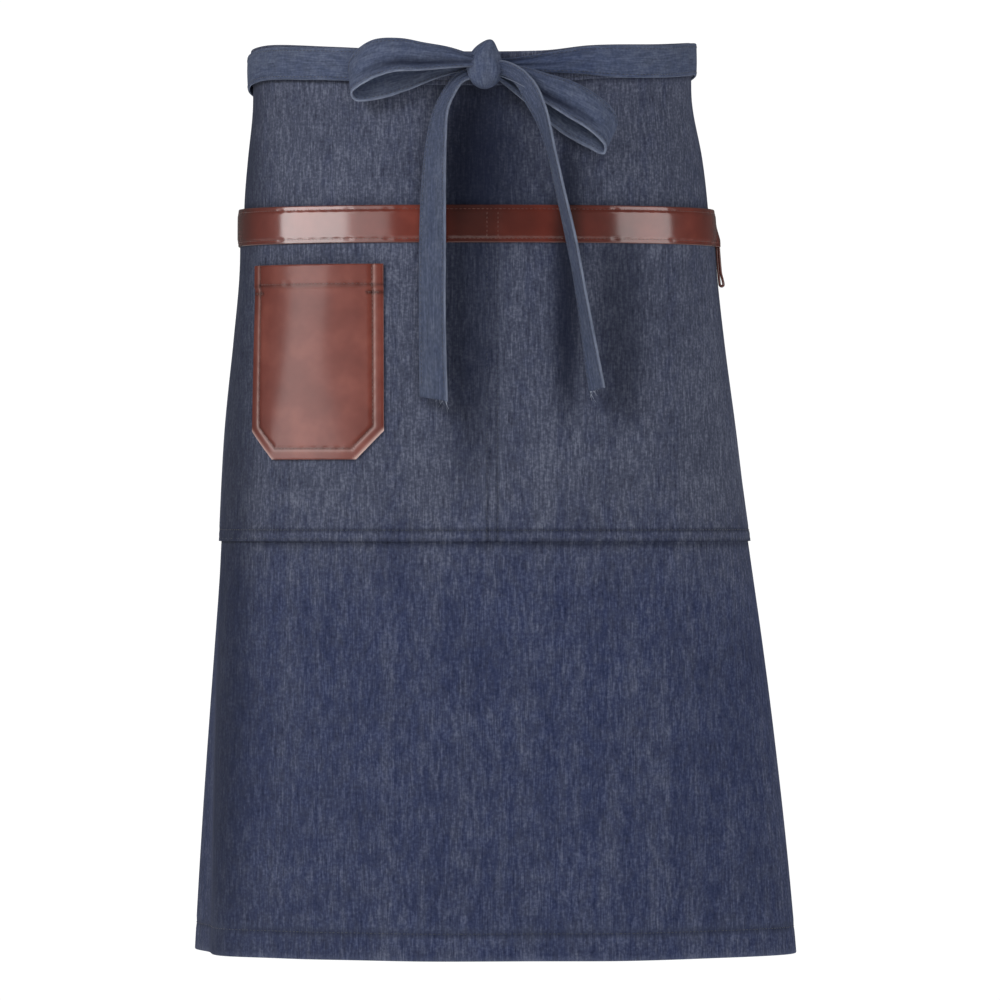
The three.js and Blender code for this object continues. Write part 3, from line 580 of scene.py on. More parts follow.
def layer(name, along, drop, faces, materials, wear_and_highlight, lining=None, place=None, shade_and_grime=None, rim_wear_and_highlight=0.7):
    """A layer of cloth or leather on the form. along and drop are rimmed places, and faces gives the
    distances out of its outer and inner face."""
    (a_places, a_full), (d_places, d_full) = along, drop
    a, d = np.meshgrid(a_places, d_places)
    full = d_full[:, None] * a_full[None, :]
    outer, inner = faces(a, d)
    middle, half = (outer + inner) / 2, (outer - inner) / 2 * full
    down = d if place is None else place(a, d)
    # Rims are paler: abraded on the cloth, and burnished with a painted highlight on the leather.
    edge = np.clip(wear_and_highlight(a, down) + rim_wear_and_highlight * (1 - full), 0, 1)
    uv = np.stack([a, down], axis=-1)
    back = None if lining is None else lining(a, d)
    # The outer face takes the painted shade areas and the piece's dark lines, which are grime and painted
    # shade; the inner face takes only those lines.
    seams = 0 * a if shade_and_grime is None else shade_and_grime(a, down)
    return wall(name, on_form(a, down, middle + half), on_form(a, down, middle - half),
                uv, edge, materials, back, np.maximum(painted_shade(a, down), seams), seams)


# Darker areas in the tone of the cloth and the leather: beside and under the hanging ties, and where the
# side of the body turns away. They stand for the shade that the photo shows there, which the soft light
# of this scene doesn't give alone. along and drop are the middle of an area in metres, with a half
# width, a half height and a strength.
# Painted shade: each row below darkens the colour in one soft oval.
PAINTED_SHADE_AREAS = columns(
    "along drop wide high strength",
    (-0.016, 0.155, 0.024, 0.16, 0.68),
    (-0.012, 0.06, 0.04, 0.075, 0.6),
    (0.012, 0.1, 0.035, 0.06, 0.35),
    (0.057, 0.17, 0.012, 0.11, 0.85),
    (0.1, 0.205, 0.02, 0.08, 0.55),
    (-0.234, 0.28, 0.034, 0.45, 0.6),
    (-0.262, 0.62, 0.02, 0.3, 0.2),
    (0.236, 0.1, 0.03, 0.12, 0.4),
)


def painted_shade(along, drop):
    """1 where the painted shade is darkest: soft-edged ovals, flat in their middle, each a bell curve of the
    third power of the distance from its middle."""
    across = ((along[..., None] - PAINTED_SHADE_AREAS["along"]) / PAINTED_SHADE_AREAS["wide"]) ** 2
    down = ((drop[..., None] - PAINTED_SHADE_AREAS["drop"]) / PAINTED_SHADE_AREAS["high"]) ** 2
    shading = PAINTED_SHADE_AREAS["strength"] * np.exp(-((across + down ** 2) ** 1.5))
    return 1 - np.prod(1 - shading, axis=-1)


def linear(colour):
    """An sRGB hex colour as linear red, green, blue and alpha."""
    value = np.array([int(colour[k:k + 2], 16) for k in (1, 3, 5)]) / 255
    value = np.where(value <= 0.04045, value / 12.92, ((value + 0.055) / 1.055) ** 2.4)
    return (*value.tolist(), 1.0)


def add(tree, kind, settings=None, links=None):
    """Adds a node, sets its properties and the values of its sockets, and links sockets to it. A node
    among the links stands for its first output."""
    node = tree.nodes.new("ShaderNode" + kind)
    for name, value in (settings or {}).items():
        if name in node.inputs:
            node.inputs[name].default_value = value
        else:
            setattr(node, name, value)
    for name, source in (links or {}).items():
        tree.links.new(source.outputs[0] if hasattr(source, "outputs") else source, node.inputs[name])
    return node


def new_material(name):
    material = bpy.data.materials.new(name)
    material.use_nodes = True
    material.node_tree.nodes.clear()
    return material


def set_ramp(node, *stops):
    """Puts stops of place and colour into a colour ramp."""
    elements = node.color_ramp.elements
    while len(elements) < len(stops):
        elements.new(0.5)
    for element, (place, colour) in zip(elements, stops):
        element.position = place
        element.color = linear(colour)


# The real twill line is 1.3 mm wide and a yarn 0.6 mm, about a pixel of the render, so both are drawn
# coarser here to show at all.
TWILL_LINE = 2.2 * MM
YARN_RELIEF = 0.5 * MM

# Each noise in the denim, as the width and the length of its blots and how much detail they have
DENIM_PATTERNS = {
    "yarn": (1.0 * MM, 12 * MM, 2.0),
    "slub": (2.6 * MM, 16 * MM, 2.0),
    "fleck": (2.4 * MM, 2.4 * MM, 1.0),
    "tint": (8 * MM, 12 * MM, 2.0),
    "fade": (55 * MM, 55 * MM, 2.0),
    "streak": (19 * MM, 220 * MM, 3.0),
}
DENIM_SHARES = {"slub": 0.5, "fleck": 0.3, "fade": 0.12, "streak": 0.08}
DENIM_STOPS = (0.34, 0.5, 0.66)

# The cloth is palest and greyest above the first of these drops and least so below the second, partly
# from fading and partly as painted light from above. Blots of two of the noises, from AGE_LOW to AGE_HIGH
# of their range, are older by up to AGE_MORE.
PALE_TOP = 330 * MM
PALE_END = 420 * MM
AGE_LOW, AGE_HIGH, AGE_MORE = 0.42, 0.62, 0.3


def make_denim(name, blue, grey, pale_edge, washed_and_lit, roughness):
    """Denim, a cotton twill with an indigo warp and a pale weft. Slubs in both yarns give short upright
    streaks and pale flecks, uneven dyeing gives blue and grey patches and long faint streaks, the twill
    line a fine slant, and the cotton's fuzz a matt, soft sheen. blue and grey hold a dark, a middle and
    a light tone of new and of faded cloth. The number before roughness is how far it turns towards the
    faded tones above the pocket's bottom, partly as fading and partly as painted light from above.
    Abraded edges and painted highlights turn it towards the pale colour, and seam grime and painted
    shade towards a deep navy."""
    material = new_material(name)
    tree = material.node_tree
    uv = add(tree, "UVMap", {"uv_map": "UVMap"})
    pattern = {}
    for label, (width, length, detail) in DENIM_PATTERNS.items():
        scaled = add(tree, "Mapping", {"Scale": (1 / width, 1 / length, 1)}, {"Vector": uv})
        pattern[label] = add(tree, "TexNoise", {"Scale": 1.0, "Detail": detail, "Roughness": 0.6},
                             {"Vector": scaled})
    cloth = pattern["yarn"]
    for label, share in DENIM_SHARES.items():
        cloth = add(tree, "Mix", {"Factor": share}, {"A": cloth, "B": pattern[label]})
    fresh = add(tree, "ValToRGB", {}, {"Fac": cloth})
    set_ramp(fresh, *zip(DENIM_STOPS, blue))
    old = add(tree, "ValToRGB", {}, {"Fac": cloth})
    set_ramp(old, *zip(DENIM_STOPS, grey))
    place = add(tree, "SeparateXYZ", {}, {"Vector": uv})
    # Paler and greyer above the pocket's bottom: partly fading, partly painted light from above
    age = add(tree, "MapRange",
              {"From Min": PALE_END, "From Max": PALE_TOP, "To Min": 0.0, "To Max": washed_and_lit},
              {"Value": place.outputs["Y"]})
    for label in ("tint", "streak"):
        more = add(tree, "MapRange",
                   {"From Min": AGE_LOW, "From Max": AGE_HIGH, "To Min": 0.0, "To Max": AGE_MORE},
                   {"Value": pattern[label]})
        age = add(tree, "Math", {"operation": "ADD", "use_clamp": True}, {0: age, 1: more})
    faded = add(tree, "MixRGB", {}, {"Fac": age, "Color1": fresh, "Color2": old})
    # Abraded edges, and the painted highlights on the ties' lit edges, turn the cloth towards the pale
    # colour.
    wear_and_highlight = add(tree, "Attribute", {"attribute_name": "wear_and_highlight"})
    pale_share = add(tree, "Math", {"operation": "MULTIPLY"}, {0: wear_and_highlight.outputs["Fac"], 1: pattern["yarn"]})
    worn_and_lit = add(tree, "MixRGB", {"Color2": linear(pale_edge)}, {"Fac": pale_share, "Color1": faded})
    # Grime in the seams and painted shade turn the cloth towards a deep navy.
    shade_and_grime = add(tree, "Attribute", {"attribute_name": "shade_and_grime"})
    shaded = add(tree, "MixRGB", {"Color2": linear("#0e1427")},
               {"Fac": shade_and_grime.outputs["Fac"], "Color1": worn_and_lit})
    slant = add(tree, "Mapping", {"Scale": (1 / TWILL_LINE, 1 / TWILL_LINE, 1)}, {"Vector": uv})
    twill = add(tree, "TexWave",
                {"wave_type": "BANDS", "bands_direction": "DIAGONAL", "Scale": 0.22, "Distortion": 1.5,
                 "Detail": 2.0, "Detail Scale": 1.5},
                {"Vector": slant})
    relief = add(tree, "Mix", {"Factor": 0.35}, {"A": pattern["yarn"], "B": twill.outputs["Fac"]})
    relief = add(tree, "Mix", {"Factor": 0.4}, {"A": relief, "B": pattern["slub"]})
    bump = add(tree, "Bump", {"Strength": 0.5, "Distance": YARN_RELIEF}, {"Height": relief})
    shader = add(tree, "BsdfPrincipled",
                 {"Roughness": roughness, "IOR": 1.46, "Specular IOR Level": 0.15, "Sheen Weight": 0.06,
                  "Sheen Roughness": 0.5, "Sheen Tint": linear("#9aa6c8")},
                 {"Base Color": shaded, "Normal": bump})
    add(tree, "OutputMaterial", {}, {"Surface": shader})
    return material


# The leather's grain, the clouds in its tone, and the soft waves in its surface
GRAIN = 1.1 * MM
GRAIN_HEIGHT = 0.3 * MM
PULL_UP = 35 * MM
HAND_WAVE = 24 * MM
HAND_WAVE_HEIGHT = 0.35 * MM


def make_leather(name, dark, middle, light, specular, coat, coat_roughness):
    """Waxed pull-up leather, dyed red-brown and glazed. It has a fine pebbled grain, slightly cloudy
    tone where the wax has moved, and a clear gloss that carries long highlights, uneven where the
    leather waves."""
    material = new_material(name)
    tree = material.node_tree
    uv = add(tree, "UVMap", {"uv_map": "UVMap"})
    cloud = add(tree, "TexNoise", {"Scale": 1 / PULL_UP, "Detail": 3.0, "Roughness": 0.55}, {"Vector": uv})
    colour = add(tree, "ValToRGB", {}, {"Fac": cloud})
    set_ramp(colour, (0.3, dark), (0.5, middle), (0.7, light))
    # Burnished rims, and painted highlights on the rims, clipped corners and seam ridges, turn the leather
    # pale pink.
    wear_and_highlight = add(tree, "Attribute", {"attribute_name": "wear_and_highlight"})
    worn_and_lit = add(tree, "MixRGB", {"Color2": linear("#d8b8b0")},
                 {"Fac": wear_and_highlight.outputs["Fac"], "Color1": colour})
    # Grime in the seams and painted shade turn the leather towards a near-black brown.
    shade_and_grime = add(tree, "Attribute", {"attribute_name": "shade_and_grime"})
    edge = add(tree, "MixRGB", {"Color2": linear("#2a0f0b")},
               {"Fac": shade_and_grime.outputs["Fac"], "Color1": worn_and_lit})
    wave = add(tree, "TexNoise", {"Scale": 1 / HAND_WAVE, "Detail": 1.0}, {"Vector": uv})
    grain = add(tree, "TexVoronoi", {"Scale": 1 / GRAIN}, {"Vector": uv})
    fine = add(tree, "TexNoise", {"Scale": 0.5 / GRAIN, "Detail": 4.0}, {"Vector": uv})
    relief = add(tree, "Mix", {"Factor": 0.5}, {"A": grain, "B": fine})
    pebbled = add(tree, "Bump", {"Strength": 0.1, "Distance": GRAIN_HEIGHT}, {"Height": relief})
    bump = add(tree, "Bump", {"Strength": 1.0, "Distance": HAND_WAVE_HEIGHT},
               {"Height": wave, "Normal": pebbled})
    shader = add(tree, "BsdfPrincipled",
                 {"Roughness": 0.5, "IOR": 1.5, "Specular IOR Level": specular, "Coat Weight": coat,
                  "Coat Roughness": coat_roughness, "Coat IOR": 1.5},
                 {"Base Color": edge, "Normal": bump})
    add(tree, "OutputMaterial", {}, {"Surface": shader})
    return material


TWIST = 0.7 * MM


def make_thread(name, dark, colour):
    """Twisted polyester sewing thread, with a soft lustre that runs along its ply."""
    material = new_material(name)
    tree = material.node_tree
    place = add(tree, "TexCoord")
    ply = add(tree, "TexNoise", {"Scale": 1 / TWIST, "Detail": 2.0}, {"Vector": place.outputs["Object"]})
    tone = add(tree, "ValToRGB", {}, {"Fac": ply})
    set_ramp(tone, (0.3, dark), (0.7, colour))
    shader = add(tree, "BsdfPrincipled", {"Roughness": 0.55, "IOR": 1.5, "Sheen Weight": 0.2},
                 {"Base Color": tone})
    add(tree, "OutputMaterial", {}, {"Surface": shader})
    return material


# The panel, the waistband and the pocket are new denim, blue with pale flecks, and paler and greyer
# above the pocket's bottom, partly faded and partly painted light from above. Its back shows the undyed
# weft. The ties are softer and paler from being handled, and paler still as painted light from above.
# The trim has a glaze that mirrors, the phone pocket only a wax, and the flesh side neither.
denim = make_denim(
    "indigo_slub_denim", ("#171e3a", "#323a59", "#59617e"), ("#272a3a", "#494e61", "#757a8c"),
    "#7a8299", 0.75, 0.9)
denim_back = make_denim(
    "denim_weft_side", ("#585d70", "#7c8192", "#9ea3b0"), ("#60626e", "#84868f", "#a6a8b0"),
    "#b0b4c0", 0.3, 0.9)
# Paler ties: partly from handling, partly painted light from above on the bow.
tie_denim = make_denim(
    "washed_and_lit_tie_denim", ("#2c3653", "#444f6c", "#5f6a88"), ("#3a4154", "#535b70", "#6d758a"),
    "#98a1b5", 0.5, 0.88)
leather = make_leather("glazed_pull_up_leather", "#5e241a", "#6c2b20", "#7c362a", 0.12, 1.0, 0.14)
phone_leather = make_leather("waxed_pull_up_leather", "#652c23", "#72362c", "#824439", 0.1, 0.24, 0.2)
suede = make_leather("leather_flesh_side", "#7a5243", "#8d6452", "#9c7462", 0.1, 0.0, 0.5)
denim_thread = make_thread("indigo_sewing_thread", "#15181f", "#2c3348")
tie_thread = make_thread("pale_warp_thread", "#5c6478", "#9aa3b4")
leather_thread = make_thread("brown_sewing_thread", "#471f18", "#6b3b30")


def dress(piece, slot, *nodes):
    """Sets a piece on the apron's one body, in place of its CAD nodes. Its slot, a finish of the record,
    is not used.
    """
    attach(piece, "root")
    if nodes:
        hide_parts(*nodes)


SEAM_GRIME_AND_SHADE = 0.55


def seam_line(distance, width=1.3 * MM):
    """How dark a seam is painted: grime in the dent that its stitches make, and painted shade in it."""
    return SEAM_GRIME_AND_SHADE * bell(distance, 0, width)


# The panel, a little paler at its hem from abrasion, dark with grime and painted shade along its hem
# seam, and with painted shadow under the waistband and under the pocket's bottom
HALF = CLOTH_WIDTH / 2
panel_along = rimmed([-HALF, SIDE_TURN - HALF, HALF - SIDE_TURN, HALF], CLOTH_STEP, DENIM, DENIM)
panel_drop = rimmed(
    [DENIM + GAP - BAND_HEIGHT / 2, BAND_HEIGHT / 2, DROP - HEM_TURN, DROP - HEM_TURN + TURN_RAMP, DROP],
    CLOTH_STEP, DENIM / 2, DENIM)
panel = layer(
    "panel_cloth", panel_along, panel_drop, panel_faces, [denim, denim_back],
    wear_and_highlight=lambda a, d: 0.35 * bell(d, DROP, 2 * MM) + 0.15 * bell(d, HEM_SEAM, 5 * MM),
    lining=lambda a, d: (d < DROP - HEM_TURN) & (np.abs(a) < HALF - SIDE_TURN),
    shade_and_grime=lambda a, d: seam_line(d - HEM_SEAM) + seam_line(d - BAND_HEIGHT / 2, 2 * MM)
    + 0.9 * seam_line(d - POCKET_END - 2 * MM, 2.5 * MM) * (np.abs(a) < POCKET_HALF))
dress(panel, "denim", "skirt_panel")

# The waistband, folded over the panel's top edge. Its places run up the outer leg, round and down.
BAND_MIDDLE = BAND_IN + DENIM / 2
BAND_TOP = BAND_OUT - BAND_HEIGHT / 2
BAND_LEG = BAND_HEIGHT / 2 - BAND_TOP
BAND_FOLD = np.pi * BAND_MIDDLE
BAND_STEP = 0.7 * MM


def make_band():
    """The band's middle runs straight up the outer leg, a half turn over the top, and straight down the
    inner leg. angle is how far a place has gone round the turn."""
    ends, ends_full = rimmed([-BAND_REACH, BAND_REACH], CLOTH_STEP, DENIM / 2, DENIM / 2)
    run, run_full = rimmed([0, BAND_LEG, BAND_LEG + BAND_FOLD, 2 * BAND_LEG + BAND_FOLD],
                           BAND_STEP, DENIM / 2, DENIM / 2)
    a, r = np.meshgrid(ends, run)
    angle = np.clip((r - BAND_LEG) / BAND_MIDDLE, 0, np.pi)
    inner_leg = BAND_TOP + np.maximum(0, r - BAND_LEG - BAND_FOLD)
    down = np.where(r < BAND_LEG, BAND_HEIGHT / 2 - r, inner_leg)
    half = DENIM / 2 * run_full[:, None] * ends_full[None, :]
    outside = np.cos(angle) > 0
    dent = np.where(outside, seam_dent(down - BAND_SEAM, a), 0)

    def face(side):
        radius = BAND_MIDDLE + side * half
        drop = np.where((r > BAND_LEG) & (angle < np.pi), BAND_TOP - radius * np.sin(angle), down)
        return on_form(a, drop, np.cos(angle) * radius + (dent if side > 0 else 0))

    wear_and_highlight = 0.45 * bell(angle, np.pi / 2, 0.8) + 0.6 * (1 - run_full[:, None]) + 0 * a
    return wall("band_cloth", face(1), face(-1), np.stack([a, r], axis=-1), np.clip(wear_and_highlight, 0, 1), [denim])


band = make_band()
dress(band, "denim", "waistband")


def pocket_dark(along, drop):
    """Grime and painted shade in the pocket's seams, and painted shade at its bottom and side edges."""
    return (seam_line(drop - POCKET_SEAM) + seam_line(drop - POCKET_END)
            + seam_line(np.abs(along) - CENTRE_SEAM) + seam_line(np.abs(along) - POCKET_HALF))


def trim_dark(along, drop):
    """Painted shade at the strap's upper and lower edges, and grime and painted shade in its centre seam."""
    return (0.5 * seam_line(drop - TRIM_DROP, MM) + 0.9 * seam_line(drop - TRIM_DROP - TRIM_HEIGHT, 1.6 * MM)
            + 0.7 * seam_line(np.abs(along) - CENTRE_SEAM, MM))


# The double pocket, a little rubbed beside its centre seam, and its leather trim
pocket = layer(
    "pocket_cloth",
    rimmed([-POCKET_HALF, -POCKET_HALF + POCKET_TURN, -2 * CENTRE_SEAM, 2 * CENTRE_SEAM,
            POCKET_HALF - POCKET_TURN, POCKET_HALF], 2.5 * MM, DENIM / 2, DENIM / 2),
    rimmed([TRIM_DROP + TRIM_LAP, POCKET_END - POCKET_TURN - TURN_RAMP, POCKET_END], 2.5 * MM,
           DENIM / 2, DENIM / 2),
    pocket_faces, [denim, denim_back],
    wear_and_highlight=lambda a, d: 0.25 * bell(np.abs(a), CENTRE_SEAM + 2.5 * MM, 1.5 * MM),
    lining=lambda a, d: a < HALF, shade_and_grime=pocket_dark, rim_wear_and_highlight=0)
dress(pocket, "denim", "double_pocket")

trim = layer(
    "trim_leather",
    rimmed([-POCKET_HALF, POCKET_HALF], 2.5 * MM, LEATHER / 2, LEATHER / 2),
    rimmed([TRIM_DROP, TRIM_DROP + TRIM_HEIGHT], 0.8 * MM, LEATHER / 2, LEATHER / 2),
    trim_faces, [leather, suede],
    wear_and_highlight=lambda a, d: 0 * a, lining=lambda a, d: a < HALF, shade_and_grime=trim_dark, rim_wear_and_highlight=0.2)
dress(trim, "leather", "pocket_trim")

# The phone pocket. Its places down are shares of its height, so its clipped corners keep their rim.
phone_marks, phone_full = rimmed([0, PHONE_TURN, PHONE_HEIGHT], LEATHER_STEP, LEATHER / 2, LEATHER / 2)
phone_left = PHONE_PLACE - PHONE_WIDTH / 2
phone_right = PHONE_PLACE + PHONE_WIDTH / 2


def phone_highlights(along, drop):
    """Painted highlights: pale along the clipped corners, and a little on the ridge beside the seam."""
    edges = phone_edges(along, drop - PHONE_DROP)
    ridge = 0.22 * bell(np.minimum.reduce(edges), PHONE_SEAM - 1.6 * MM, 1.1 * MM)
    return bell(edges[2], 0, 1.5 * MM) + ridge


def phone_dark(along, drop):
    """Grime and painted shade in the seams and at the two short bars of stitches below its ends, and
    painted shadow under the turned mouth.
    """
    down = drop - PHONE_DROP
    edges = phone_edges(along, down)
    bars = seam_line(down - PHONE_TURN - 4.9 * MM, 1.5 * MM) * (edges[0] < PHONE_TACK)
    seams = seam_line(np.minimum.reduce(edges) - PHONE_SEAM, MM)
    return seams + seam_line(down - PHONE_TURN + MM) + 1.3 * bars


phone = layer(
    "phone_pocket_leather",
    rimmed([phone_left, phone_left + PHONE_CORNER, phone_right - PHONE_CORNER, phone_right],
           LEATHER_STEP, LEATHER / 2, LEATHER / 2),
    (phone_marks / PHONE_HEIGHT, phone_full), phone_faces, [phone_leather, suede],
    wear_and_highlight=phone_highlights, lining=lambda a, d: a < HALF,
    place=lambda a, share: PHONE_DROP + share * phone_height(a), shade_and_grime=phone_dark, rim_wear_and_highlight=0.2)
dress(phone, "leather", "phone_pocket")


def make_towel_loop():
    """A strap folded double under the trim: down its front leg, round a half turn, and up its back."""
    half_turn = (LOOP_EYE + LEATHER) / 2
    edge = TRIM_DROP + TRIM_HEIGHT
    top = edge - LOOP_TUCK
    bend = edge + GAP + LOOP_HANG - half_turn - LEATHER / 2
    leg = bend - top
    run, run_full = rimmed([0, leg, leg + np.pi * half_turn, 2 * leg + np.pi * half_turn],
                           0.6 * MM, LEATHER / 2, LEATHER / 2)
    ends, ends_full = rimmed([LOOP_PLACE - LOOP_WIDTH / 2, LOOP_PLACE + LOOP_WIDTH / 2],
                             MM, LEATHER / 2, LEATHER / 2)
    a, r = np.meshgrid(ends, run)
    angle = np.clip((r - leg) / half_turn, 0, np.pi)
    straight = np.where(r < leg, top + r, bend - np.maximum(0, r - leg - np.pi * half_turn))
    back = pocket_base(a, np.full_like(a, edge)) + DENIM + GAP
    open_share = smoothstep(straight, bend - LOOP_HANG / 3, bend)
    skived = LOOP_SKIVE * (1 - smoothstep(straight, edge - MM, edge + MM))
    spread = (LEATHER + LOOP_EYE * open_share) / 2 - skived
    middle = back + LEATHER / 2 + spread
    half = (LEATHER / 2 - LOOP_SKIVE * (straight < edge)) * run_full[:, None] * ends_full[None, :]

    def face(side):
        radius = spread + side * half
        drop = np.where((angle > 0) & (angle < np.pi), bend + radius * np.sin(angle), straight)
        return on_form(a, drop, middle + np.cos(angle) * radius)

    wear_and_highlight = np.clip(1 - run_full[:, None] * ends_full[None, :], 0, 1) * 0.1
    # Painted shade darkens the whole loop evenly.
    return wall("towel_loop_leather", face(1), face(-1), np.stack([a, r], axis=-1), wear_and_highlight, [leather],
                shade_and_grime=np.full_like(a, 0.45))


towel_loop = make_towel_loop()
dress(towel_loop, "leather", "towel_loop")


def spline(points, t):
    """A centripetal Catmull-Rom curve through points, t from 0 to 1 over all its spans: a cubic in each
    span, whose end slopes weigh the neighbouring spans by the square roots of their lengths."""
    points = np.concatenate([[2 * points[0] - points[1]], points, [2 * points[-1] - points[-2]]])
    knots = np.sqrt(np.linalg.norm(np.diff(points, axis=0), axis=1))[:, None]
    spans = len(points) - 3
    place = np.clip(t, 0, 1) * spans
    k = np.minimum(place.astype(int), spans - 1)
    u = (place - k)[:, None]
    p0, p1, p2, p3 = (points[k + j] for j in range(4))
    d0, d1, d2 = (knots[k + j] for j in range(3))
    m1 = ((p1 - p0) / d0 - (p2 - p0) / (d0 + d1) + (p2 - p1) / d1) * d1
    m2 = ((p2 - p1) / d1 - (p3 - p1) / (d1 + d2) + (p3 - p2) / d2) * d1
    return (2 * u ** 3 - 3 * u ** 2 + 1) * p1 + (u ** 3 - 2 * u ** 2 + u) * m1 \
        + (3 * u ** 2 - 2 * u ** 3) * p2 + (u ** 3 - u ** 2) * m2


def front_of_form(x, drop):
    """Where the front of the worn form lies at a place across and a drop."""
    half_width, half_depth, middle_x, middle_y = section(np.clip(drop, 0, DROP))
    power = 2 / SQUARENESS
    share = np.minimum(np.abs(x - middle_x) / half_width, 1)
    return middle_y - half_depth * (1 - share ** power) ** (1 / power)


def bow_points(across, up, out):
    """Places in the bow, given from the knot across, up and out from the cloth."""
    x = KNOT_X + across
    z = up - KNOT_DROP
    return np.stack([x, front_of_form(x, -z) - out, z], axis=-1)


def strip_faces(first, second, gathers, folds=None, worn_and_lit=1.0):
    """The two faces of a flat strip between two edge curves. gathers gives how strongly the strip is
    pleated at each share of its length, as lengthwise waves across it, and folds its larger creases.
    The last argument is the share of its width where its lit edge is painted palest as a highlight;
    all its edges are a little paler from abrasion too."""
    across, across_full = rimmed([0, TIE_WIDTH], STRIP_STEP, TIE_THICKNESS / 2, TIE_THICKNESS / 2)
    fine = np.linspace(0, 1, RING_SAMPLES)
    middle = (spline(first, fine) + spline(second, fine)) / 2
    length = np.linalg.norm(np.diff(middle, axis=0), axis=1).sum()
    run, run_full = rimmed([0, length], STRIP_STEP, TIE_THICKNESS / 2, TIE_THICKNESS / 2)
    share, t = across / TIE_WIDTH, run / length
    a, b = spline(first, t), spline(second, t)
    points = a[:, None] + (b - a)[:, None] * share[None, :, None]
    ahead = np.gradient((a + b) / 2, axis=0)
    normal = np.cross(ahead, b - a)
    normal /= np.linalg.norm(normal, axis=1, keepdims=True)
    waves = np.cos(5 * np.pi * share)[None, :] * gathers(t)[:, None]
    swell = 0.25 * np.sin(np.pi * share)[None, :] ** 2
    lift = PLEAT * (waves + swell)
    # Painted shade in the pleats and in the hollow of each crease
    shade_and_grime = 0.55 * gathers(t)[:, None] * (0.6 - 0.4 * np.cos(5 * np.pi * share)[None, :])
    if folds is not None:
        crease = folds(share[None, :], t[:, None])
        lift = lift + crease
        shade_and_grime = shade_and_grime + np.clip(np.abs(crease) / LEG_VALLEY - 0.2, 0, 1) * bell(share[None, :], 0.68, 0.17)
    half = TIE_THICKNESS / 2 * run_full[:, None] * across_full[None, :]
    uv = np.stack(np.broadcast_arrays(across[None, :], run[:, None]), axis=-1)
    # Edges a little paler from abrasion, and the lit edge painted paler still as a highlight
    edge_wear_and_highlight = np.clip(0.9 * (1 - across_full) + 0.8 * bell(share, worn_and_lit, 0.05), 0, 1)
    wear_and_highlight = edge_wear_and_highlight[None, :] + 0 * run[:, None]
    outer = points + normal[:, None] * (lift + half)[..., None]
    inner = points + normal[:, None] * (lift - half)[..., None]
    return outer, inner, uv, wear_and_highlight, np.clip(shade_and_grime, 0, 0.85), length


# How far a strip's stitches are from its edges, the part of its length that they run along, how much
# painted shade darkens the hanging tails all over, as in the photo, and how long the loose threads at
# their free ends are
EDGE_SEAM = 2.4 * MM
SEWN = slice(8, -6)
TAIL_SHADE = 0.18
FRAY_LENGTH = 10 * MM
tie_rows = []
frayed_ends = []


def sewn_edges(outer, inner, faces):
    """Notes the rows of stitches near both edges of a strip, on the faces given: 1 for the outer face
    and -1 for the inner one. They stop a few places short of the strip's ends."""
    column = 3 + round((EDGE_SEAM - TIE_THICKNESS / 2) / STRIP_STEP)
    for face in faces:
        for k in (column, -1 - column):
            normal = face * (outer[:, k] - inner[:, k])
            tie_rows.append(((outer if face > 0 else inner)[SEWN, k], normal[SEWN]))


def make_loop(name, table, reach, side):
    """One loop of the bow: its strip leaves the knot, turns at the tip and comes back behind itself."""
    edges = [bow_points(side * reach * table[e + "_across"], reach * table[e + "_up"],
                        BOW_DEPTH * table[e + "_out"]) for e in ("top", "low")]
    towards_front = -side

    def folds(share, t):
        on_leg = np.sin(np.pi * np.clip(t / 0.46, 0, 1)) ** 0.7
        shape = (LEG_BULGE * bell(share, 0.22, 0.2) - LEG_VALLEY * bell(share, 0.66, 0.17)
                 + LEG_RIM * bell(share, 1.0, 0.14))
        return towards_front * on_leg * shape

    outer, inner, uv, wear_and_highlight, shade_and_grime, length = strip_faces(
        *edges, lambda t: np.exp(-t / 0.11) + np.exp(-(1 - t) / 0.11), folds)
    sewn_edges(outer, inner, (1, -1))
    return wall(name, outer, inner, uv, wear_and_highlight, [tie_denim], shade_and_grime=shade_and_grime), length


def make_tail(name, table, length, spread, side):
    """One hanging end: pleated where it leaves the knot and flat further down."""
    edges = [bow_points(side * spread * table[e + "_across"], -length * table[e + "_down"],
                        BOW_DEPTH * table[e + "_out"]) for e in ("far", "near")]
    outer, inner, uv, wear_and_highlight, shade_and_grime, length = strip_faces(
        *edges, lambda t: np.exp(-t / 0.12), worn_and_lit=(1 - side) / 2)
    sewn_edges(outer, inner, (1, -1))
    middle = (outer + inner)[-5, 3:-3] / 2
    near_edge = np.linspace(0, 1, len(middle)) ** 3
    frayed_ends.append((middle, (middle - (outer + inner)[-9, 3:-3] / 2), FRAY_LENGTH * (0.25 + near_edge)))
    return wall(name, outer, inner, uv, wear_and_highlight, [tie_denim], shade_and_grime=np.maximum(shade_and_grime, TAIL_SHADE)), length


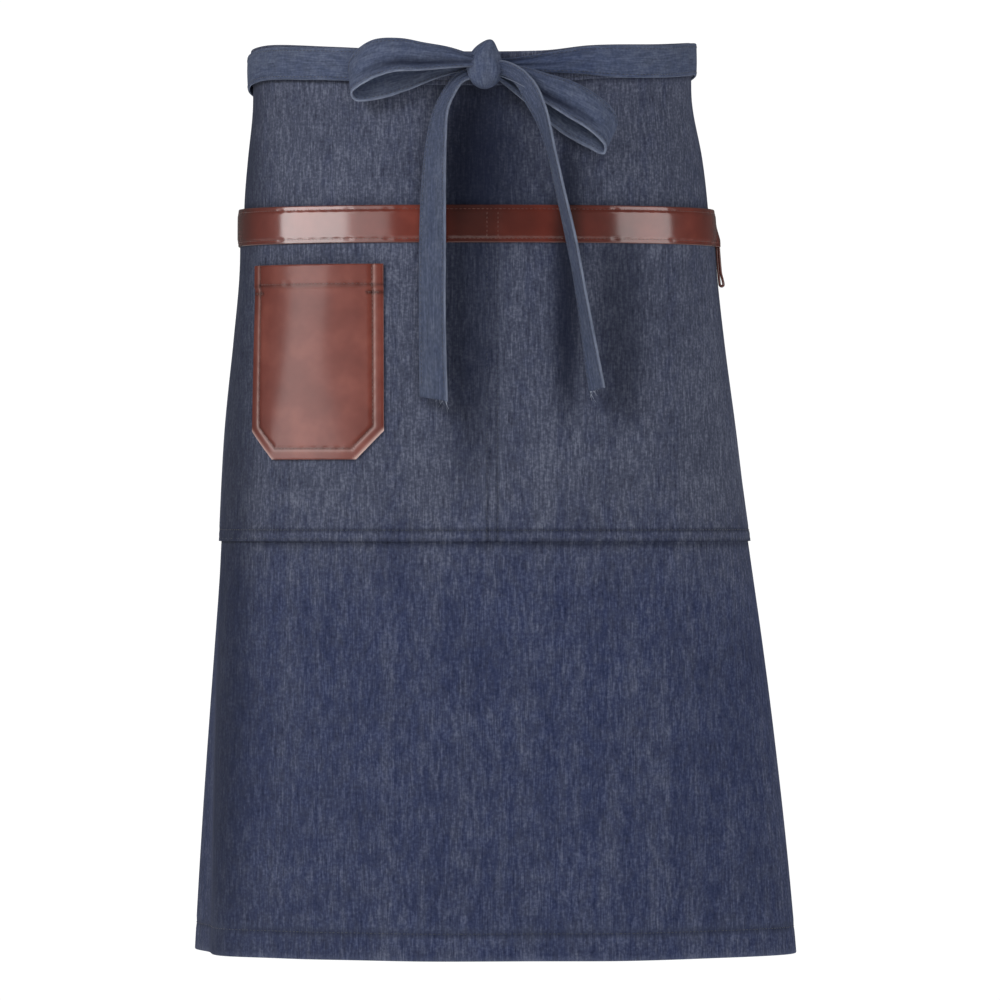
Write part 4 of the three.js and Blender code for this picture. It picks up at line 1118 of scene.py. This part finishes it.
def make_tie(name, table, side):
    """A tie from one end of the waistband across the back and round the other side to the knot. It lies
    on the form, and its pleats grow as it narrows."""
    waist = turn_length(0.0) / 2
    start = (BAND_REACH + GAP) / waist - 1
    across, across_full = rimmed([0, 1], STRIP_STEP / TIE_WIDTH, 0.04, 0.04)
    lap, lap_full = rimmed([start, 1.0], 3 * MM / waist, MM / waist, MM / waist)
    s, k = np.meshgrid(across, lap)
    width = curve(table, "lap", "width", k)
    drop = curve(table, "lap", "drop", k) * BAND_HEIGHT + (s - 0.5) * width * TIE_WIDTH
    out = curve(table, "lap", "layer", k) * TIE_LAYER
    lift = PLEAT * ((1 - width) * np.cos(5 * np.pi * s) + 0.2 * np.sin(np.pi * s) ** 2)
    half = TIE_THICKNESS / 2 * lap_full[:, None] * across_full[None, :]
    along = side * waist * (1 - k)
    uv = np.stack([s * TIE_WIDTH, k * waist], axis=-1)
    wear_and_highlight = np.clip(0.9 * (1 - across_full), 0, 1)[None, :] + 0 * k
    outer, inner = on_form(along, drop, out + lift + half), on_form(along, drop, out + lift - half)
    sewn_edges(outer, inner, (1,))
    # Painted shade in the pleats, deeper as the tie narrows
    shade_and_grime = np.clip(0.9 * (1 - width) * (0.6 - 0.4 * np.cos(5 * np.pi * s)), 0, 0.8)
    length = np.linalg.norm(np.diff(outer[:, outer.shape[1] // 2], axis=0), axis=1).sum()
    return wall(name, outer, inner, uv, wear_and_highlight, [tie_denim], shade_and_grime=shade_and_grime), length


def turn_length(drop):
    """The distance once round the section at a drop."""
    turn = np.linspace(0, 2 * np.pi, RING_SAMPLES + 1)
    x, y = section_point(turn, np.full_like(turn, drop))
    return np.hypot(np.diff(x), np.diff(y)).sum()


KNOT_ROWS = 40
KNOT_SIDES = 64


def make_knot():
    """The centre of the bow: an egg with a small peak, its surface pleated by waves that run from its
    top to its bottom, and nipped in where the last turn of the tie crosses it."""
    tilt = np.linspace(0.02, np.pi - 0.02, KNOT_ROWS)[:, None]
    turn = np.linspace(0, 2 * np.pi, KNOT_SIDES, endpoint=False)[None, :]
    peak = KNOT_PEAK * np.maximum(0, np.cos(tilt)) ** 6
    pleats = 1 + 0.045 * np.sin(tilt) * np.cos(7 * turn + 1.2 * np.sin(2 * tilt) + 0.6)
    nip = 1 - 0.05 * bell(np.cos(tilt), 0.45 - 0.2 * np.cos(turn), 0.12)
    centre = bow_points(0.0, 0.0, BAND_OUT + TIE_THICKNESS + KNOT_DEPTH / 2)
    x = np.sin(tilt) * np.cos(turn) * KNOT_WIDTH / 2 * pleats * nip + peak
    y = np.sin(tilt) * np.sin(turn) * KNOT_DEPTH / 2 * pleats * nip
    z = np.cos(tilt) * (KNOT_HEIGHT - KNOT_PEAK) / 2 + peak + 0 * turn
    points = centre + np.stack([x, y, z], axis=-1).reshape(-1, 3)
    ids = np.arange(KNOT_ROWS * KNOT_SIDES).reshape(KNOT_ROWS, KNOT_SIDES)
    faces = [tube_quads(ids), cone(ids[0], len(points)), cone(ids[-1], len(points) + 1)[:, ::-1]]
    poles = [points[:KNOT_SIDES].mean(axis=0), points[-KNOT_SIDES:].mean(axis=0)]
    points = np.concatenate([points, poles])
    uv = np.stack(np.broadcast_arrays(turn * KNOT_WIDTH / 2, tilt * KNOT_HEIGHT / 2), axis=-1)
    uv = np.concatenate([uv.reshape(-1, 2), [[0, 0], [0, KNOT_HEIGHT]]])
    return make_mesh("knot_cloth", points, faces, uv, np.zeros(len(points)), None, [tie_denim])


knot = make_knot()
dress(knot, "tie_denim", "knot")
tie_pieces = {
    "tail_left": make_tail("tail_left_cloth", LEFT_TAIL_EDGES, LEFT_TAIL, LEFT_TAIL_SPREAD, -1),
    "tail_right": make_tail("tail_right_cloth", RIGHT_TAIL_EDGES, RIGHT_TAIL, RIGHT_TAIL_SPREAD, 1),
    "bow_loop_left": make_loop("bow_loop_left_cloth", LEFT_LOOP, LEFT_REACH, -1),
    "bow_loop_right": make_loop("bow_loop_right_cloth", RIGHT_LOOP, RIGHT_REACH, 1),
    "tie_left": make_tie("tie_left_cloth", INNER_TIE, 1),
    "tie_right": make_tie("tie_right_cloth", OUTER_TIE, -1),
}
for node, (piece, length) in tie_pieces.items():
    dress(piece, "tie_denim", node)

STITCH_RINGS = np.array([-0.75, 0.0, 0.75])
STITCH_SIDES = 5


def repeated(parts, count, each):
    """The faces of many copies of a small mesh with as many vertices as each says."""
    first = np.arange(count)[:, None, None] * each
    return [(first + part).reshape(-1, part.shape[1]) for part in parts]


def sew(name, rows, material, slot):
    """Stitches along rows of points with outward normals. Each is a bead of thread: rings round the
    row, full in the middle and closing to a point at both ends, which dip into the cloth."""
    places, tangents, normals = [], [], []
    for points, outward in rows:
        run = np.concatenate([[0], np.cumsum(np.linalg.norm(np.diff(points, axis=0), axis=1))])
        at = np.arange(STITCH_PITCH, run[-1] - STITCH / 2, STITCH_PITCH)
        place = np.stack([np.interp(at, run, points[:, k]) for k in range(3)], axis=-1)
        ahead = np.stack([np.interp(at + MM, run, points[:, k]) for k in range(3)], axis=-1)
        normal = np.stack([np.interp(at, run, outward[:, k]) for k in range(3)], axis=-1)
        places.append(place)
        tangents.append(ahead - place)
        normals.append(normal)
    place, tangent, normal = (np.concatenate(a) for a in (places, tangents, normals))
    tangent /= np.linalg.norm(tangent, axis=1, keepdims=True)
    normal -= tangent * (normal * tangent).sum(axis=1, keepdims=True)
    normal /= np.linalg.norm(normal, axis=1, keepdims=True)
    across = np.cross(tangent, normal)
    turn = np.linspace(0, 2 * np.pi, STITCH_SIDES, endpoint=False)
    radius = THREAD / 2 * np.sqrt(1 - STITCH_RINGS ** 2)
    lift = 0.15 * THREAD - 0.35 * THREAD * STITCH_RINGS ** 2
    along = np.repeat(STITCH_RINGS * STITCH / 2, STITCH_SIDES)
    out = (lift[:, None] + radius[:, None] * np.cos(turn)).ravel()
    side = (radius[:, None] * np.sin(turn)).ravel()
    along = np.concatenate([along, [-STITCH / 2, STITCH / 2]])
    out = np.concatenate([out, [-0.2 * THREAD] * 2])
    side = np.concatenate([side, [0, 0]])
    points = (place[:, None] + along[:, None] * tangent[:, None] + out[:, None] * normal[:, None]
              + side[:, None] * across[:, None])
    each = len(along)
    ids = np.arange(each - 2).reshape(len(STITCH_RINGS), STITCH_SIDES)
    parts = [tube_quads(ids), cone(ids[0], each - 2), cone(ids[-1], each - 1)[:, ::-1]]
    piece = make_mesh(name, points.reshape(-1, 3), repeated(parts, len(place), each), materials=[material])
    dress(piece, slot)


def form_row(along, drop, face):
    """A row across the form, as points with outward normals, on the face given."""
    along, drop = np.broadcast_arrays(along, drop)
    along, drop = along[None, :].astype(float), drop[None, :].astype(float)
    out = face(along, drop)[0]
    base = on_form(along, drop, out)[0]
    return base, on_form(along, drop, out + MM)[0] - base


def span(start, end):
    """Places from start to end about a millimetre apart."""
    return np.linspace(start, end, max(2, round(abs(end - start) / MM)))


def seam_rows(face, half, drops, alongs=(), top=0, low=0):
    """The rows on one face: one across the form at each of drops, as far as half to both sides, and one
    from top down to low at each of alongs on both sides of the centre."""
    across = [form_row(span(-half, half), drop, face) for drop in drops]
    return across + [form_row(side * along, span(top, low), face) for side in (-1, 1) for along in alongs]


SEWN_HALF = HALF - DENIM
TRIM_ROWS = (TRIM_DROP + TRIM_SEAM, TRIM_DROP + TRIM_HEIGHT - TRIM_SEAM)
POCKET_ROWS = (POCKET_SEAM, POCKET_EDGE_SEAM)
POCKET_UPRIGHTS = (CENTRE_SEAM, POCKET_SIDE_SEAM)
sew("panel_stitches",
    seam_rows(panel_faces, SEWN_HALF, [HEM_SEAM], [SIDE_SEAM], BAND_HEIGHT, DROP - 2 * MM),
    denim_thread, "denim")
sew("band_stitches",
    seam_rows(lambda a, d: (BAND_OUT + 0 * a, 0 * a), SEWN_HALF, [BAND_SEAM]),
    denim_thread, "denim")
sew("pocket_stitches",
    seam_rows(pocket_faces, POCKET_SIDE_SEAM, POCKET_ROWS, POCKET_UPRIGHTS,
              TRIM_DROP + TRIM_HEIGHT + MM, POCKET_END - 2 * MM),
    denim_thread, "denim")
sew("trim_stitches",
    seam_rows(trim_faces, POCKET_SIDE_SEAM, TRIM_ROWS, POCKET_UPRIGHTS, *TRIM_ROWS),
    leather_thread, "leather")


def phone_seam_row(start_across, start_down, end_across, end_down):
    """A row of stitches on the phone pocket between two places, given across and down from its middle
    top edge."""
    count = max(2, round(np.hypot(end_across - start_across, end_down - start_down) / MM))
    along = PHONE_PLACE + np.linspace(start_across, end_across, count)
    down = np.linspace(start_down, end_down, count)
    share = down / phone_height(along)
    return form_row(along, PHONE_DROP + down, lambda a, d: phone_faces(a, share[None, :]))


def phone_seam_rows():
    """The seam down both sides, round the clipped corners and along the bottom, the seam of the turned
    mouth, and two short bars of stitches below each end of it."""
    side, low = PHONE_WIDTH / 2 - PHONE_SEAM, PHONE_HEIGHT - PHONE_SEAM
    clip = PHONE_CORNER - PHONE_SEAM * (2 - np.sqrt(2))
    tack_from, tack_to = PHONE_WIDTH / 2 - MM, PHONE_WIDTH / 2 - PHONE_TACK
    tack_drops = (PHONE_TURN + 4.4 * MM, PHONE_TURN + 5.4 * MM)
    rows = [phone_seam_row(s * side, 0, s * side, low - clip) for s in (-1, 1)]
    rows += [phone_seam_row(s * side, low - clip, s * (side - clip), low) for s in (-1, 1)]
    rows += [phone_seam_row(clip - side, low, side - clip, low),
             phone_seam_row(-side, PHONE_TURN_SEAM, side, PHONE_TURN_SEAM)]
    return rows + [phone_seam_row(s * tack_from, down, s * tack_to, down)
                   for s in (-1, 1) for down in tack_drops]


sew("phone_pocket_stitches", phone_seam_rows(), leather_thread, "leather")
sew("tie_stitches", tie_rows, denim_thread, "tie_denim")

FRAY = 0.55 * MM
FRAY_RINGS = 5


def fray(name, ends):
    """Loose warp threads at the free ends of the ties: thin tapering strands that go on the way the tie
    goes, longest at its last edge, each with its own lean from sines of its place in the row."""
    base = np.concatenate([points for points, _, _ in ends])
    onward = np.concatenate([way / np.linalg.norm(way, axis=1, keepdims=True) for _, way, _ in ends])
    reach = np.concatenate([length for _, _, length in ends])[:, None]
    number = np.arange(len(base))
    lean = 0.4 * np.stack([np.sin(2.3 * number), np.cos(3.7 * number), 0 * number], axis=-1)
    share = np.linspace(0, 1, FRAY_RINGS)[None, :, None]
    middle = base[:, None] + (reach * onward)[:, None] * share + (reach * lean)[:, None] * share ** 2
    turn = np.radians([90, 210, 330])
    ring = np.stack([np.cos(turn), np.sin(turn), 0 * turn], axis=-1)
    radius = FRAY / 2 * (1 - 0.7 * share)
    points = (middle[:, :, None] + radius[..., None] * ring).reshape(-1, 3)
    ids = np.arange(3 * FRAY_RINGS).reshape(FRAY_RINGS, 3)
    parts = [tube_quads(ids), np.stack([ids[0, ::-1], ids[-1]])]
    piece = make_mesh(name, points, repeated(parts, len(base), ids.size), materials=[tie_thread])
    dress(piece, "tie_denim")


fray("tie_fray", frayed_ends)


# The floor and the light. The floor lies well under the hem, because the apron is held up as it is worn.
FLOOR_DROP = 1.0
FLOOR_RADIUS = 4.0
FLOOR_SIDES = 96


def make_floor():
    """A round floor of white acrylic, lit from under it as a light table is, which keeps it pale. From
    the level camera its far edge is still below the picture."""
    turn = np.linspace(0, 2 * np.pi, FLOOR_SIDES, endpoint=False)
    x, y = FLOOR_RADIUS * np.cos(turn), FLOOR_RADIUS * np.sin(turn)
    ring = np.stack([x, y, 0 * turn - FLOOR_DROP], axis=-1)
    points = np.concatenate([ring, [[0, 0, -FLOOR_DROP]]])
    faces = [cone(np.arange(FLOOR_SIDES), FLOOR_SIDES)[:, ::-1]]
    material = new_material("matt_acrylic_floor")
    tree = material.node_tree
    grain = add(tree, "TexNoise", {"Scale": 6.0, "Detail": 3.0})
    tone = add(tree, "ValToRGB", {}, {"Fac": grain})
    set_ramp(tone, (0.3, "#f2f2f0"), (0.7, "#f8f8f6"))
    shader = add(tree, "BsdfPrincipled",
                 {"Roughness": 0.9, "Emission Color": linear("#ffffff"), "Emission Strength": 0.3},
                 {"Base Color": tone})
    add(tree, "OutputMaterial", {}, {"Surface": shader})
    make_mesh("floor", points, faces, materials=[material])


def make_softbox(name, azimuth, elevation, distance, width, height, power, lit=True, mirrored=True):
    """A soft rectangular light that faces the middle of the apron. azimuth is to the right of the
    camera, seen from above. lit says whether it lights the cloth, and mirrored whether gloss shows it."""
    data = bpy.data.lights.new(name, "AREA")
    data.shape = "RECTANGLE"
    data.size = width
    data.size_y = height
    data.energy = power
    light = bpy.data.objects.new(name, data)
    a, e = np.radians(azimuth), np.radians(elevation)
    target = np.array([0, 0, -0.3])
    away = np.array([np.sin(a) * np.cos(e), -np.cos(a) * np.cos(e), np.sin(e)])
    light.location = target + distance * away
    light.rotation_euler = (np.pi / 2 - e, 0, a)
    light.visible_camera = False
    light.visible_diffuse = lit
    light.visible_glossy = mirrored
    bpy.context.collection.objects.link(light)


def make_world(backdrop, ambient):
    """White behind the apron, and a dimmer even light on it."""
    world = bpy.data.worlds.new("studio")
    world.use_nodes = True
    tree = world.node_tree
    tree.nodes.clear()
    path = add(tree, "LightPath")
    seen = add(tree, "Background", {"Color": (1, 1, 1, 1), "Strength": backdrop})
    felt = add(tree, "Background", {"Color": (1, 1, 1, 1), "Strength": ambient})
    mixed = add(tree, "MixShader", {}, {0: path.outputs["Is Camera Ray"], 1: felt, 2: seen})
    add(tree, "OutputWorld", {}, {"Surface": mixed})
    bpy.context.scene.world = world


# Four softboxes light the cloth. The three cards light nothing: they are the bright shapes that the
# leather mirrors, where the photo has its highlights.
bpy.context.scene.view_settings.view_transform = "Standard"
make_floor()
make_world(backdrop=1.05, ambient=0.1)
make_softbox("key_softbox", -44, 34, 2.4, 0.8, 0.8, 25, mirrored=False)
make_softbox("fill_softbox", 22, 12, 2.6, 1.6, 1.6, 18, mirrored=False)
make_softbox("right_softbox", 80, 8, 2.2, 1.0, 1.6, 8, mirrored=False)
make_softbox("back_softbox", 165, 30, 2.6, 1.6, 1.6, 14, mirrored=False)
make_softbox("left_card", -64, 2, 2.2, 1.7, 1.9, 80, lit=False)
make_softbox("left_soft_card", -34, 4, 2.2, 0.7, 1.9, 10, lit=False)
make_softbox("right_card", 66, 2, 2.2, 1.4, 1.9, 33, lit=False)
